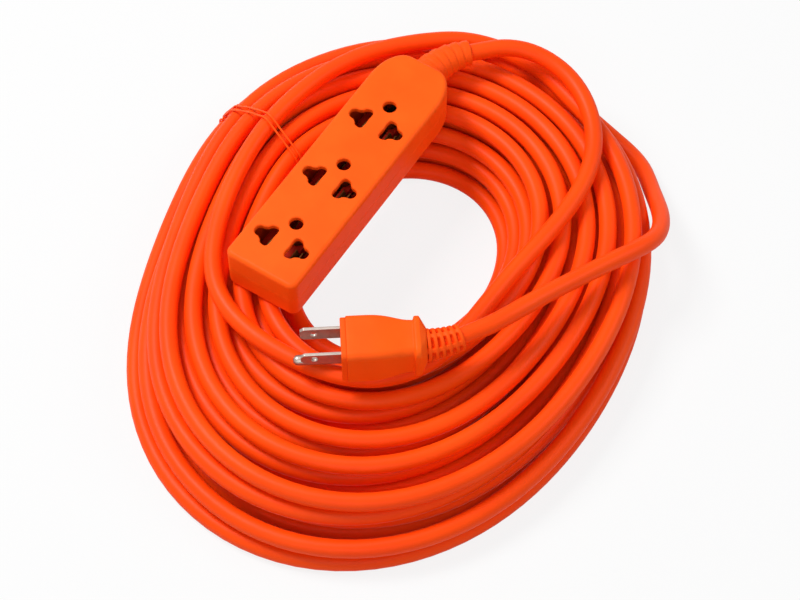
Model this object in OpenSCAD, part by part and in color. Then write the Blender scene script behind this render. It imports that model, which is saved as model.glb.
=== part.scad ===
// Coiled extension cord with a three-outlet block and a grounded plug.
// Millimetres, +Z up, floor at z = 0, origin on the floor in the middle of the coil's eye.
// +X runs along the outlet block towards its cord end.

/* [Cord] */
// Diameter of the jacketed three-wire cord
cord_d = 8.4; // [7.8:0.1:8.8]
// Diameter of one insulated wire inside the jacket
wire_d = 2.5; // [2.1:0.1:2.8]

/* [Coil] */
// Mean radius of the outermost loop's centre line
outer_r = 135.5; // [132.5:0.5:138.5]
// Sideways shift of the outer outline
outer_shift = 10.5; // [9:0.5:12]
// How much the outer outline is drawn out to an oval
outer_oval = 15.5; // [12.5:0.5:17]
// Mean radius of the innermost loop's centre line
eye_r = 52; // [49:1:54]
// Gap between one layer of loops and the next
layer_gap = 0.5; // [0.45:0.05:1]
// How far the loops are lifted where the tie passes under them
tie_lift = 2.2; // [2:0.1:3]

/* [Outlet block] */
// Width of the block
block_w = 38; // [36:0.5:42]
// Height of the block
block_h = 24; // [23:0.5:27]
// From the middle outlet's blade line to the free end
free_len = 57.5; // [56:0.5:64]
// From the middle outlet's blade line to where the shoulders begin
straight_len = 63; // [62:0.5:68]
// Length of the rounded shoulders
shoulder_len = 19; // [18:0.5:24]
// Width left at the cord end
mouth_w = 15; // [14.5:0.5:18]
// Corner radius of the free end, seen from above
corner_r = 4; // [3:0.5:6]
// Rounding of the long edges
edge_r = 2.2; // [1.6:0.1:3]
// Height of the seam between base and cover above the underside
seam_h = 12; // [11.5:0.1:12.5]
// Side wall
wall = 2.4; // [2:0.1:2.6]
// Floor of the base
floor_t = 2.2; // [1.8:0.1:2.6]
// Face plate of the cover
face_t = 2.5; // [2:0.1:3.5]
// Height of the tongue that locates the cover on the base
tongue_h = 1.5; // [1:0.1:2]
// Thickness of the tongue
tongue_t = 1.1; // [0.9:0.1:1.3]

/* [Outlets] */
// Distance from one outlet to the next
outlet_pitch = 39; // [37:0.5:40]
// Distance between the two blade slots of an outlet
blade_pitch = 12.7; // [12.5:0.05:12.9]
// Distance from the blade line to the ground hole
ground_offset = 11.9; // [11.7:0.05:12.1]
// Diameter of the ground hole
ground_hole_d = 6.5; // [6:0.1:6.8]
// Length of a blade slot
slot_l = 11.2; // [10:0.1:11.8]
// Width of a blade slot
slot_w = 3.7; // [3:0.1:4]
// Width of the cross slot where it leaves the blade slot
arm_root_w = 6.6; // [5.8:0.1:7]
// Radius of the round end of the cross slot
arm_tip_r = 2.7; // [2.4:0.05:2.9]
// From the centre line to the middle of that round end
arm_tip_y = 11.5; // [11:0.1:12]

/* [Contacts] */
// Thickness of the brass strips
strip_t = 0.8; // [0.6:0.1:1]
// Width of the live and neutral strips
strip_w = 2.6; // [2.2:0.1:2.8]
// Width of the ground strip
ground_strip_w = 2.8; // [2.4:0.1:3]
// Thickness of a contact leaf
leaf_t = 0.5; // [0.4:0.05:0.6]
// Height of the contact leaves above the strip
leaf_h = 10.4; // [9:0.1:11]
// Length of a pair of leaves
leaf_l = 9.6; // [8:0.1:10]
// Outer radius of a ground sleeve
sleeve_r = 3; // [2.9:0.05:3.1]
// Wall of a ground sleeve
sleeve_t = 0.55; // [0.4:0.05:0.6]
// Height of a ground sleeve above the strip
sleeve_h = 10; // [8:0.1:10.8]
// Outer radius of the crimp barrels
crimp_r = 1.5; // [1.4:0.05:1.6]
// Height of the contact carrier
carrier_h = 10.4; // [9.5:0.1:11]
// Half width of the contact carrier
carrier_y = 12.8; // [11.5:0.1:13]
// Floor of the contact carrier
carrier_floor = 1.6; // [1.2:0.1:1.8]

/* [Screws] */
// Shank radius of the cover screws
screw_r = 1.4; // [1.2:0.05:1.5]
// Head radius of the cover screws
head_r = 2.7; // [2.5:0.05:2.8]
// Head height of the cover screws
head_h = 1.7; // [1.4:0.1:1.9]
// Radius of the screw posts
post_r = 3.6; // [3.5:0.05:3.7]
// Distance of the posts from the centre line
post_y = 12.4; // [12:0.1:12.6]
// Thread length of a cover screw above the seam
grip_l = 6.5; // [5:0.1:7]
// Shank radius of the clamp screws
clamp_screw_r = 1.1; // [0.9:0.05:1.2]
// Distance of the clamp screws from the centre line
clamp_screw_y = 8; // [7.5:0.1:8.5]
// Width of the clamp bar along the cord
clamp_l = 5; // [4:0.1:6]
// Half length of the clamp bar
clamp_y = 11; // [10.5:0.1:11.4]
// Height of the clamp bar over the seam
clamp_h = 6.4; // [5.8:0.1:7]
// Height of the clamp bar's screw ears over the seam
ear_h = 3.2; // [2.8:0.1:3.6]

/* [Block strain relief] */
// Radius that the relief is bent to
relief_bend_r = 34; // [34:1:40]
// Angle that the relief is bent through
relief_bend = 45; // [40:1:48]
// Rib radius at the block
relief_root_r = 8.8; // [8:0.1:9.2]
// Rib radius at the free end
relief_tip_r = 6.2; // [5.8:0.1:6.8]
// Number of ribs
relief_ribs = 6; // [5:1:7]
// Radius of the neck that passes through the mouth
neck_r = 6.2; // [5.6:0.1:6.4]
// Radius of the flange held inside the block
flange_r = 8.4; // [7.8:0.1:8.6]
// Thickness of that flange
flange_t = 3.4; // [2.4:0.1:3.8]

/* [Ribs] */
// Share of the rib pitch that the slot between two ribs takes
rib_gap = 0.36; // [0.3:0.02:0.44]
// How far the side webs stay below the ribs
web_drop = 0.45; // [0.3:0.05:0.6]
// Height of the side webs
web_h = 6.4; // [5:0.2:7]

/* [Plug] */
// Direction that the plug points in, degrees from +X
plug_heading = 126; // [124:1:128]
// Length of the plug body from its face to the back of its collar
plug_len = 35; // [33:0.5:36]
// Width of the plug at its face
plug_face_w = 23; // [21:0.5:24]
// Width of the waist in front of the collar
plug_waist_w = 18.6; // [16.5:0.1:19.5]
// Width over the collar
collar_w = 20.8; // [20:0.1:22]
// Length of the collar
collar_l = 4; // [3:0.1:5]
// Plug material above the blade line
plug_over = 7; // [6:0.1:8]
// Plug material below the ground pin's axis
plug_under = 4.2; // [4:0.1:5]
// Drop of the top from the face to the waist
plug_drop = 3; // [2:0.1:4]
// Rounding of the plug's long edges
plug_edge_r = 3; // [2:0.1:3.6]
// Thickness of the insert that holds the prongs
insert_t = 2.4; // [1.8:0.1:3]
// How far the insert stands back from the body's outline
insert_inset = 0.6; // [0.4:0.1:1]
// Thickness of the blades
blade_t = 1.52; // [1.4:0.02:1.6]
// Width of the live blade
live_w = 6.35; // [6.2:0.05:6.5]
// Width of the neutral blade
neutral_w = 7.9; // [7.6:0.05:8.1]
// Length of the blades in front of the face
blade_l = 17.8; // [16:0.1:18.3]
// Diameter of the hole in each blade
blade_hole_d = 3.2; // [2.8:0.1:3.4]
// From the face to that hole
blade_hole_x = 11.8; // [11:0.1:12.5]
// Diameter of the ground pin
pin_d = 4.78; // [4.6:0.02:4.8]
// Length of the ground pin in front of the face
pin_l = 21.4; // [20.5:0.1:22]
// Depth of the prongs inside the plug
root_l = 13; // [10:0.5:15]
// Radius of the ground pin's root inside the plug
pin_root_r = 1.8; // [1.5:0.05:2.1]

/* [Plug strain relief] */
// Radius that the plug's relief is bent to
tail_bend_r = 48; // [46:1:52]
// Angle that the plug's relief is bent through
tail_bend = 22; // [20:1:24]
// Rib radius at the plug
tail_root_r = 6.9; // [6.5:0.1:7.4]
// Rib radius at the free end
tail_tip_r = 6; // [5.7:0.1:6.4]
// Number of ribs
tail_ribs = 6; // [5:1:7]

/* [Tie] */
// Diameter of the tie's wire
tie_d = 1; // [0.9:0.05:1.05]
// Distance between its two strands
tie_pitch = 4.4; // [4:0.1:5]

/* [Clearances] */
// Gap between a piece and what it lies on
seat_gap = 0.24; // [0.2:0.02:0.35]
// Gap between the lead and the loops that it lies on
lay_gap = 0.34; // [0.3:0.02:0.4]
// Running clearance round pins, tongues and grooves
fit_gap = 0.15; // [0.1:0.01:0.2]
// Clearance of a screw in the hole that it grips
thread_gap = 0.05; // [0.03:0.01:0.1]
// Clearance of a screw in the hole that it passes through
screw_gap = 0.3; // [0.2:0.05:0.4]

/* [Hidden] */
eps = 0.01;
ORANGE = "#ff5a1e";
DARK_ORANGE = "#e8440f";
BRASS = "#c9a24b";
STEEL = "#b9bcc0";

// ---- coil: loops wind inwards, climb, wind outwards, and so on for four layers
LAYER_TURNS = [7, 6, 5, 4.5];
CLIMB = 0.5;
START_A = -15;
TIE_A = 75;
ALL_TURNS = 24;
LOOP_RINGS = 24;
pitch_k = 1 / LAYER_TURNS[0];
layer_step = cord_d + layer_gap;
cut_h = cord_d / 10;
low_z = cord_d / 2 - cut_h;
coil_top = low_z + 3 * layer_step + cord_d / 2;
lay_z = coil_top + cord_d / 2 + lay_gap;

function unit(v) = v / norm(v);
function flat(l) = [for (a = l) for (b = a) b];
function outer(a) = outer_r + outer_shift * cos(a + 136) + outer_oval * cos(2 * (a - 14))
    + 3.7 * cos(3 * (a + 53.5));
function inner(a) = eye_r + 8 * cos(a - 20) + 6 * cos(2 * a);

// Share of the width and layer number after t turns
function wind(t, i = 0, s = 1, dir = -1) =
    t <= LAYER_TURNS[i] || i == len(LAYER_TURNS) - 1 ? [s + dir * pitch_k * t, i]
    : t <= LAYER_TURNS[i] + CLIMB
        ? let (u = t - LAYER_TURNS[i], f = u / CLIMB)
            [s + dir * pitch_k * (LAYER_TURNS[i] + u - u * u / CLIMB), i + f * f * (3 - 2 * f)]
    : wind(t - LAYER_TURNS[i] - CLIMB, i + 1, s + dir * pitch_k * LAYER_TURNS[i], -dir);

// How far from the tie, in degrees, for an angle of any size
function off_tie(a) = let (b = (a - TIE_A) % 360) b > 180 ? b - 360 : b < -180 ? b + 360 : b;
function lift(a) = let (b = off_tie(a)) abs(b) < 30 ? tie_lift * pow(cos(3 * b), 2) : 0;

function coil_pt(t) = let (
    a = START_A + 360 * t,
    w = wind(t),
    width = outer(a) - inner(a),
    step = pitch_k * width,
    far = (1 - cos(a - TIE_A)) / 2,
    sway = 0.3 * max(0, step - cord_d - 0.45) * far * sin(360 * (0.41 * t + 0.35)),
    nest = 0.25 * step * far * ((1 - cos(180 * w[1])) / 2 - 0.5),
    r = inner(a) + w[0] * width + sway + nest)
    [r * cos(a), r * sin(a), low_z + w[1] * layer_step + lift(a)];

coil_in = unit(coil_pt(0.01) - coil_pt(0));
coil_out = unit(coil_pt(ALL_TURNS) - coil_pt(ALL_TURNS - 0.01));
coil_loops = [for (i = [0:ALL_TURNS * LOOP_RINGS]) coil_pt(i / LOOP_RINGS)];
coil_start = coil_loops[0] - cord_d * coil_in;
coil_end = coil_loops[len(coil_loops) - 1] + cord_d * coil_out;
coil_path = concat([coil_start], coil_loops, [coil_end]);
function least_gap() = min([for (i = [0:len(coil_loops) - 14])
    for (j = [i + 13:len(coil_loops) - 1]) norm(coil_loops[i] - coil_loops[j])]) - cord_d;

// ---- tubes swept along points
function tangent(p, i) = i == 0 ? unit(p[1] - p[0])
    : i == len(p) - 1 ? unit(p[i] - p[i - 1])
    : unit(unit(p[i + 1] - p[i]) + unit(p[i] - p[i - 1]));
function square_to(v, t) = unit(v - (v * t) * t);
// One reference direction carried along the path without twist
function carried(t, v) = [for (i = 0, n = square_to(v, t[0]); i < len(t);
    i = i + 1, n = i < len(t) ? square_to(n, t[i]) : n) n];
function ring(p, t, n, r, sides) = let (s = cross(n, t)) [for (k = [0:sides - 1])
    let (a = 90 + 360 * k / sides) p + r * (cos(a) * s + sin(a) * n)];

module skin(rings, sides) {
    last = (len(rings) - 1) * sides;
    polyhedron(points = flat(rings), faces = concat(
        [for (k = [1:sides - 2]) [0, k, k + 1]],
        [for (k = [1:sides - 2]) [last, last + k + 1, last + k]],
        [for (i = [0:len(rings) - 2]) for (k = [0:sides - 1])
            [i * sides + k, (i + 1) * sides + k, (i + 1) * sides + (k + 1) % sides]],
        [for (i = [0:len(rings) - 2]) for (k = [0:sides - 1])
            [i * sides + k, (i + 1) * sides + (k + 1) % sides, i * sides + (k + 1) % sides]]));
}

// A tube whose section keeps one corner straight down
module level_tube(path, d, sides) {
    skin([for (i = [0:len(path) - 1]) let (t = tangent(path, i))
        ring(path[i], t, square_to([0, 0, 1], t), d / 2, sides)], sides);
}

// A tube along a path that may also run straight up
module free_tube(path, d, sides, first) {
    t = [for (i = [0:len(path) - 1]) tangent(path, i)];
    n = carried(t, first);
    skin([for (i = [0:len(path) - 1]) ring(path[i], t[i], n[i], d / 2, sides)], sides);
}

// Smooth route through a control list, with ends that run straight for one step
function blend(a, b, c, d, u) = (pow(1 - u, 3) * a + (3 * pow(u, 3) - 6 * u * u + 4) * b
    + (-3 * pow(u, 3) + 3 * u * u + 3 * u + 1) * c + pow(u, 3) * d) / 6;
function route(p0, t0, mid, p1, t1, step, n) = let (c = concat(
    [p0 - step * t0, p0, p0 + step * t0, p0 + 2 * step * t0], mid,
    [p1 - 2 * step * t1, p1 - step * t1, p1, p1 + step * t1]))
    concat([for (i = [1:len(c) - 3]) for (j = [0:n - 1])
        blend(c[i - 1], c[i], c[i + 1], c[i + 2], j / n)], [p1]);

// ---- outlet block, in its own frame: x along the block, y = 0 on its centre line, z = 0 underneath
block_at = [0, 33, coil_top + seat_gap];
half_w = block_w / 2;
mouth_x = straight_len + shoulder_len;
cord_h = seam_h;
inside_h = block_h - face_t;
outlets = [-outlet_pitch, 0, outlet_pitch];
post_at = [for (x = [-free_len + wall + post_r - 0.6, straight_len - post_r]) for (s = [-1, 1])
    [x, s * post_y]];
head_seat = 2.2;

module in_block() {
    translate(block_at) children();
}

// Outline seen from above, drawn in by g
function plan(g) = let (r = corner_r - g, hw = half_w - g, x0 = -free_len + g,
    hm = mouth_w / 2, ex = shoulder_len - g, ey = hw - hm) concat(
    [for (i = [0:8]) let (a = 180 + 90 * i / 8) [x0 + r + r * cos(a), -hw + r + r * sin(a)]],
    [for (i = [0:12]) let (a = 90 * i / 12) [straight_len + ex * sin(a), -hm - ey * cos(a)]],
    [for (i = [12:-1:0]) let (a = 90 * i / 12) [straight_len + ex * sin(a), hm + ey * cos(a)]],
    [for (i = [0:8]) let (a = 90 + 90 * i / 8) [x0 + r + r * cos(a), hw - r + r * sin(a)]]);

function rounded(x0, x1, y0, y1, r) = flat([for (q = [[x1 - r, y1 - r, 0], [x0 + r, y1 - r, 90],
    [x0 + r, y0 + r, 180], [x1 - r, y0 + r, 270]])
    [for (i = [0:6]) let (a = q[2] + 15 * i) [q[0] + r * cos(a), q[1] + r * sin(a)]]]);

// Full outer form: the plan, the cross section and the side view cut one another
module block_form() {
    intersection() {
        linear_extrude(block_h) polygon(plan(0));
        translate([-free_len, 0, 0]) rotate([90, 0, 90])
            linear_extrude(free_len + mouth_x)
            polygon(rounded(-half_w, half_w, 0, block_h, edge_r));
        translate([0, half_w, 0]) rotate([90, 0, 0])
            linear_extrude(block_w)
            polygon(rounded(-free_len, mouth_x, 0, block_h, edge_r));
    }
}

module cavity(z0, z1, g = 0) {
    translate([0, 0, z0]) linear_extrude(z1 - z0) polygon(plan(wall - g));
}

module mouth() {
    translate([mouth_x - wall - 1, 0, cord_h]) rotate([0, 90, 0])
        cylinder(r = neck_r + fit_gap, h = wall + 2, $fn = 48);
}

module block_base() {
    color(DARK_ORANGE) in_block() difference() {
        union() {
            difference() {
                intersection() {
                    block_form();
                    translate([-free_len - 1, -half_w - 1, 0])
                        cube([free_len + mouth_x + 2, block_w + 2, seam_h]);
                }
                cavity(floor_t, seam_h + 1);
            }
            difference() {
                cavity(seam_h - 1, seam_h + tongue_h, tongue_t);
                cavity(seam_h - 2, seam_h + tongue_h + 1);
            }
            for (p = post_at)
                translate([p[0], p[1], 0]) cylinder(r = post_r, h = seam_h, $fn = 48);
            clamp_cradle();
        }
        for (p = post_at) translate([p[0], p[1], 0]) {
            translate([0, 0, -1]) cylinder(r = screw_r + screw_gap, h = seam_h + 2, $fn = 32);
            translate([0, 0, -1]) cylinder(r = head_r + screw_gap, h = head_seat + 1, $fn = 32);
        }
        mouth();
        for (s = [-1, 1]) translate([clamp_x, s * clamp_screw_y, floor_t + 1.5])
            cylinder(r = clamp_screw_r + thread_gap, h = seam_h, $fn = 32);
    }
}

// Block on the floor that carries the jacket in a half-round groove
clamp_x = straight_len + 5.5;
module clamp_cradle() {
    difference() {
        translate([clamp_x - clamp_l / 2, -clamp_y, 1])
            cube([clamp_l, 2 * clamp_y, seam_h - 1 - fit_gap]);
        translate([clamp_x - clamp_l, 0, cord_h]) rotate([0, 90, 0])
            cylinder(r = cord_d / 2 + fit_gap, h = 2 * clamp_l, $fn = 48);
    }
}

// One outlet's openings, y up from the centre line: two T slots and the ground hole
module t_slot() {
    translate([-slot_l / 2, blade_pitch / 2 - slot_w / 2]) square([slot_l, slot_w]);
    polygon([[-arm_root_w / 2, blade_pitch / 2], [arm_root_w / 2, blade_pitch / 2],
        [arm_tip_r, arm_tip_y], [-arm_tip_r, arm_tip_y]]);
    translate([0, arm_tip_y]) circle(r = arm_tip_r, $fn = 40);
}

module block_cover() {
    color(ORANGE) in_block() difference() {
        union() {
            difference() {
                intersection() {
                    block_form();
                    translate([-free_len - 1, -half_w - 1, seam_h])
                        cube([free_len + mouth_x + 2, block_w + 2, block_h]);
                }
                cavity(seam_h - 1, inside_h);
                cavity(seam_h - 1, seam_h + tongue_h + fit_gap, tongue_t + fit_gap);
            }
            for (p = post_at) translate([p[0], p[1], seam_h])
                cylinder(r = post_r - tongue_t, h = inside_h - seam_h + 0.5, $fn = 48);
        }
        for (p = post_at) translate([p[0], p[1], seam_h - 1])
            cylinder(r = screw_r + thread_gap, h = grip_l + 1.5, $fn = 32);
        mouth();
        for (x = outlets) translate([x, 0, inside_h - 1]) {
            linear_extrude(face_t + 2) t_slot();
            linear_extrude(face_t + 2) mirror([0, 1]) t_slot();
            translate([ground_offset, 0, 0])
                cylinder(r = ground_hole_d / 2, h = face_t + 2, $fn = 64);
        }
    }
}

// ---- contacts and their carrier
carrier_x0 = -outlet_pitch - leaf_l / 2 - 3;
carrier_x1 = outlet_pitch + ground_offset + sleeve_r + 0.6;
strip_z = floor_t + carrier_floor;
bus_x1 = outlet_pitch + leaf_l / 2 + 3;
crimp_l = 4;
leaf_y = blade_pitch / 2;
pocket_gap = 0.4;

channel_w = max(strip_w, 2 * crimp_r) + 2 * fit_gap;

module carrier_pockets() {
    for (s = [-1, 1]) {
        translate([-outlet_pitch - leaf_l / 2 - pocket_gap, s * leaf_y - channel_w / 2])
            square([2 * outlet_pitch + leaf_l + 40, channel_w]);
        for (x = outlets) translate([x - leaf_l / 2 - pocket_gap, s * leaf_y - 2.4])
            square([leaf_l + 2 * pocket_gap, 4.8]);
    }
    translate([-outlet_pitch + ground_offset, -ground_strip_w / 2 - fit_gap])
        square([2 * outlet_pitch + 40, ground_strip_w + 2 * fit_gap]);
    for (x = outlets) translate([x + ground_offset, 0]) circle(r = sleeve_r + pocket_gap, $fn = 48);
}

module contact_carrier() {
    color("#2b1a14") in_block() difference() {
        translate([carrier_x0, -carrier_y, floor_t])
            cube([carrier_x1 - carrier_x0, 2 * carrier_y, carrier_h - floor_t]);
        translate([0, 0, strip_z]) linear_extrude(carrier_h) carrier_pockets();
        for (p = post_at) translate([p[0], p[1], 0])
            cylinder(r = post_r + fit_gap, h = block_h, $fn = 48);
    }
}

// Section of a pair of spring leaves with flared lips, z up from the strip
module leaf_pair() {
    p = [[1.2, -0.3], [1.3, 0.3 * leaf_h], [0.95, 0.65 * leaf_h], [0.8, 0.82 * leaf_h],
        [1.7, leaf_h]];
    for (s = [0, 1]) mirror([s, 0]) polygon(concat([for (q = p) [q[0] - leaf_t / 2, q[1]]],
        [for (i = [len(p) - 1:-1:0]) [p[i][0] + leaf_t / 2, p[i][1]]]));
}

// A strip with a crimp barrel at its cord end
module strip(x0, x1, y, w) {
    translate([x0, y - w / 2, strip_z]) cube([x1 - x0, w, strip_t]);
    translate([x1 - eps, y, strip_z + crimp_r]) rotate([0, 90, 0])
        cylinder(r = crimp_r, h = crimp_l, $fn = 32);
}

module blade_bus(s) {
    in_block() {
        strip(-outlet_pitch - leaf_l / 2, bus_x1, s * leaf_y, strip_w);
        for (x = outlets) translate([x - leaf_l / 2, s * leaf_y, strip_z + strip_t])
            rotate([90, 0, 90]) linear_extrude(leaf_l) leaf_pair();
    }
}

module live_bus() {
    color(BRASS) blade_bus(1);
}

module neutral_bus() {
    color(BRASS) blade_bus(-1);
}

// Ground strip with one slit spring sleeve at each outlet
module ground_bus() {
    color(BRASS) in_block() {
        difference() {
            union() {
                strip(-outlet_pitch + ground_offset, carrier_x1 + 0.2, 0, ground_strip_w);
                for (x = outlets) translate([x + ground_offset, 0, strip_z])
                    cylinder(r = sleeve_r, h = strip_t + sleeve_h, $fn = 48);
            }
            for (x = outlets) translate([x + ground_offset, 0, strip_z + strip_t]) {
                cylinder(r = sleeve_r - sleeve_t, h = sleeve_h + 1, $fn = 48);
                translate([-sleeve_r - 1, -0.4, 1.5]) cube([2 * sleeve_r + 2, 0.8, sleeve_h]);
            }
        }
    }
}

// ---- wires from the crimps to the end of the jacket
jacket_x = straight_len + 0.5;
relief_x = mouth_x - wall - fit_gap - flange_t;
wire_z = strip_z + crimp_r;
LIVE_MID = [[57.8, 5.9, 6.8], [60.8, 3.4, 10.6]];

module wire(p0, mid, p1) {
    in_block() free_tube(route(p0, [1, 0, 0], mid, p1, [1, 0, 0], wire_d / 4, 2), wire_d, 8,
        [0, 0, 1]);
}

module live_wire() {
    color("#222222") wire([bus_x1 + crimp_l, leaf_y, wire_z], LIVE_MID,
        [jacket_x, 1.7, cord_h + 1]);
}

module neutral_wire() {
    color("#f2f2f0") wire([bus_x1 + crimp_l, -leaf_y, wire_z],
        [for (p = LIVE_MID) [p[0], -p[1], p[2]]], [jacket_x, -1.7, cord_h + 1]);
}

module ground_wire() {
    color("#2c8a4b") wire([carrier_x1 + 0.2 + crimp_l, 0, wire_z], [],
        [jacket_x, 0, cord_h - 1.9]);
}

module jacket_end() {
    color(ORANGE) in_block() translate([jacket_x, 0, cord_h]) rotate([0, 90, 0])
        cylinder(d = cord_d, h = relief_x - jacket_x, $fn = 48);
}

// ---- screws and cord clamp
module cover_screws() {
    color(STEEL) in_block() for (p = post_at) translate([p[0], p[1], head_seat - head_h]) {
        difference() {
            cylinder(r = head_r, h = head_h, $fn = 32);
            translate([0, 0, -eps]) {
                translate([-2, -0.35, 0]) cube([4, 0.7, 0.9]);
                translate([-0.35, -2, 0]) cube([0.7, 4, 0.9]);
            }
        }
        cylinder(r = screw_r, h = seam_h - head_seat + head_h + grip_l, $fn = 32);
    }
}

// Saddle bar with a half-round groove and raised screw ears
module cord_clamp() {
    color("#2b1a14") in_block() difference() {
        translate([clamp_x - clamp_l / 2, 0, cord_h]) rotate([90, 0, 90]) linear_extrude(clamp_l)
            difference() {
                polygon([[-clamp_y, fit_gap], [-clamp_y, ear_h], [-cord_d / 2 - 1.5, ear_h],
                    [-cord_d / 4 - 1.4, clamp_h], [cord_d / 4 + 1.4, clamp_h],
                    [cord_d / 2 + 1.5, ear_h], [clamp_y, ear_h], [clamp_y, fit_gap]]);
                circle(r = cord_d / 2 + fit_gap, $fn = 48);
            }
        for (s = [-1, 1]) translate([clamp_x, s * clamp_screw_y, cord_h])
            cylinder(r = clamp_screw_r + fit_gap, h = 8, $fn = 32);
    }
}

module clamp_screws() {
    color(STEEL) in_block() for (s = [-1, 1]) translate([clamp_x, s * clamp_screw_y, 0]) {
        translate([0, 0, floor_t + 3])
            cylinder(r = clamp_screw_r, h = cord_h + ear_h - floor_t - 2.9, $fn = 32);
        difference() {
            translate([0, 0, cord_h + ear_h]) cylinder(r = 1.9, h = 1.3, $fn = 32);
            translate([-1.4, -0.3, cord_h + ear_h + 0.7]) cube([2.8, 0.6, 1]);
        }
    }
}

// ---- strain reliefs: a round core with ribs, joined by a web on each side, bent to one arc
// It starts at the origin along +X and bends towards -Y
module bent_relief(bend_r, bend, root_r, tip_r, ribs, core_r) {
    each_a = bend / (ribs - rib_gap);
    function rib_r(i) = root_r + (tip_r - root_r) * i / (ribs - 1);
    translate([0, -bend_r, 0]) {
        rotate(90 - bend) rotate_extrude(angle = bend, $fn = 144)
            translate([bend_r, 0]) circle(r = core_r, $fn = 48);
        for (i = [0:ribs - 1]) rotate(90 - (i + 1 - rib_gap) * each_a)
            rotate_extrude(angle = each_a * (1 - rib_gap), $fn = 144) translate([bend_r, 0])
            circle(r = rib_r(i), $fn = 48);
        for (i = [0:ribs - 2]) rotate(90 - (i + 1.1) * each_a)
            rotate_extrude(angle = each_a * (rib_gap + 0.2), $fn = 144) translate([bend_r, 0])
            square([2 * (rib_r(i + 1) - web_drop), web_h], center = true);
    }
}

module block_relief() {
    color(ORANGE) in_block() {
        translate([mouth_x, 0, cord_h]) bent_relief(relief_bend_r, relief_bend, relief_root_r,
            relief_tip_r, relief_ribs, cord_d / 2 + 0.8);
        translate([relief_x, 0, cord_h]) rotate([0, 90, 0]) {
            cylinder(r = flange_r, h = flange_t, $fn = 64);
            cylinder(r = neck_r, h = mouth_x - relief_x + 0.2, $fn = 64);
        }
    }
}

// ---- free cord: the lead lies on the coil's loops, the tail runs down to the floor
// Points are [x, y, height over a cord that lies on the coil]
LEAD = [[128, 8, -8.6], [126.3, 21, -7.7], [118.9, 34.1, -3.1], [108, 44.5, 0.6],
    [96.3, 56.5, 1.4], [82, 68.7, 1.3], [63, 77.5, 1.8], [42, 82, 2.2], [20, 84, 2.2],
    [-6, 81, 1.2], [-30, 74.5, 0], [-51, 65, 0], [-67, 52, 0], [-76, 33, 0], [-78.5, 11, 0],
    [-77, -12, 0], [-70, -33, 0], [-55, -48, 0], [-35, -55, 0], [-12, -56, 0], [15, -57, 0],
    [40, -60, 0], [64, -61, 0], [85, -58, 0], [102, -50, 0.5], [115, -38, 1.5],
    [123, -24, 3.2], [125, -10, 5.2], [123, 1.5, 7]];
TAIL = [[-9, -74.5, 15.2], [5, -79, 12.2], [22, -85.5, 8.2], [42, -94, 5.2], [57.8, -100.8, 2],
    [71, -102.5, -5], [84.6, -97.6, -12.4], [96.6, -89.1, -21], [107.6, -79.8, -28.3],
    [118.9, -70.3, -33.2]];
function laid(pts) = [for (p = pts) [p[0], p[1], p[2] + lay_z]];

relief_end = block_at + [mouth_x + relief_bend_r * sin(relief_bend),
    -relief_bend_r * (1 - cos(relief_bend)), cord_h];
relief_dir = [cos(relief_bend), -sin(relief_bend), 0];

module above_floor() {
    intersection() {
        children();
        translate([-300, -300, 0]) cube([600, 600, 200]);
    }
}

module cord_lead() {
    color(ORANGE) level_tube(route(coil_end, coil_out, laid(LEAD), relief_end, -relief_dir,
        cord_d, 1), cord_d, 10);
}

module cord_coil() {
    echo(str("least gap of the coil to itself, mm: ", least_gap()));
    color(DARK_ORANGE) above_floor() level_tube(coil_path, cord_d, 6);
}

module cord_tail() {
    color(ORANGE) above_floor() level_tube(route(tail_start, tail_dir, laid(TAIL), coil_start,
        coil_in, cord_d, 1), cord_d, 10);
}

// ---- tie: one wire, doubled, round the bundle, with its two ends twisted
tie_r = [cos(TIE_A), sin(TIE_A), 0];
loop_run = coil_pt(8.25) - coil_pt(8.26);
tie_t = unit([loop_run[0], loop_run[1], 0]);
function tie_pt(r, l, z) = r * tie_r + l * tie_t + [0, 0, z];
tie_off = cord_d / 2 + 0.3 + tie_d / 2;
// Middle of the strand in the column and layer given, where the tie passes
function strand(s, i) = [inner(TIE_A) + s * (outer(TIE_A) - inner(TIE_A)),
    low_z + i * layer_step + tie_lift];
TOP_LEAD = [86.2, 2.3];
function at_angle(c, r, a) = [c[0] + r * cos(a), c[1] + r * sin(a)];
tie_in = strand(0.25, 3);
tie_low = strand(0.25, 0);
tie_out = strand(0.9643, 0);
tie_lead = [TOP_LEAD[0], lay_z + TOP_LEAD[1]];
// Down the outside, under the bundle, up the gap between two columns and over the top
tie_ring = concat(
    [[outer(TIE_A) + 0.1, 15.5], at_angle(tie_out, tie_off, 20), at_angle(tie_out, tie_off, -10)],
    [at_angle(tie_out, tie_off, -38), at_angle(tie_out, tie_off, -64)],
    [for (r = [tie_out[0], 110, 96, 82, tie_low[0]]) [r, tie_d / 2 + 0.12]],
    [for (a = [-112, -130, -150, -170]) at_angle(tie_low, tie_off + 0.2, a)],
    [[tie_low[0] - tie_off - 0.2, tie_low[1] + 1], [tie_low[0] - tie_off, 21.5]],
    [[tie_in[0] - tie_off + 0.4, 27], [tie_in[0] - tie_off + 0.4, tie_in[1] - 1]],
    [for (a = [165, 142, 119]) at_angle(tie_in, tie_off, a)],
    [for (a = [118, 96, 75, 55]) at_angle(tie_lead, tie_off, a)],
    [at_angle(strand(0.6786, 3), tie_off, 52), at_angle(strand(0.8214, 2), tie_off, 45)],
    [at_angle(strand(0.8214, 2), tie_off, 27)]);
twist_from = tie_pt(outer(TIE_A) - 0.4, 4.6, 16.4);
twist_to = tie_pt(outer(TIE_A) + 4.4, 13.6, 18);
twist_axis = unit(twist_to - twist_from);
twist_n = square_to([0, 0, 1], twist_axis);
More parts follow.
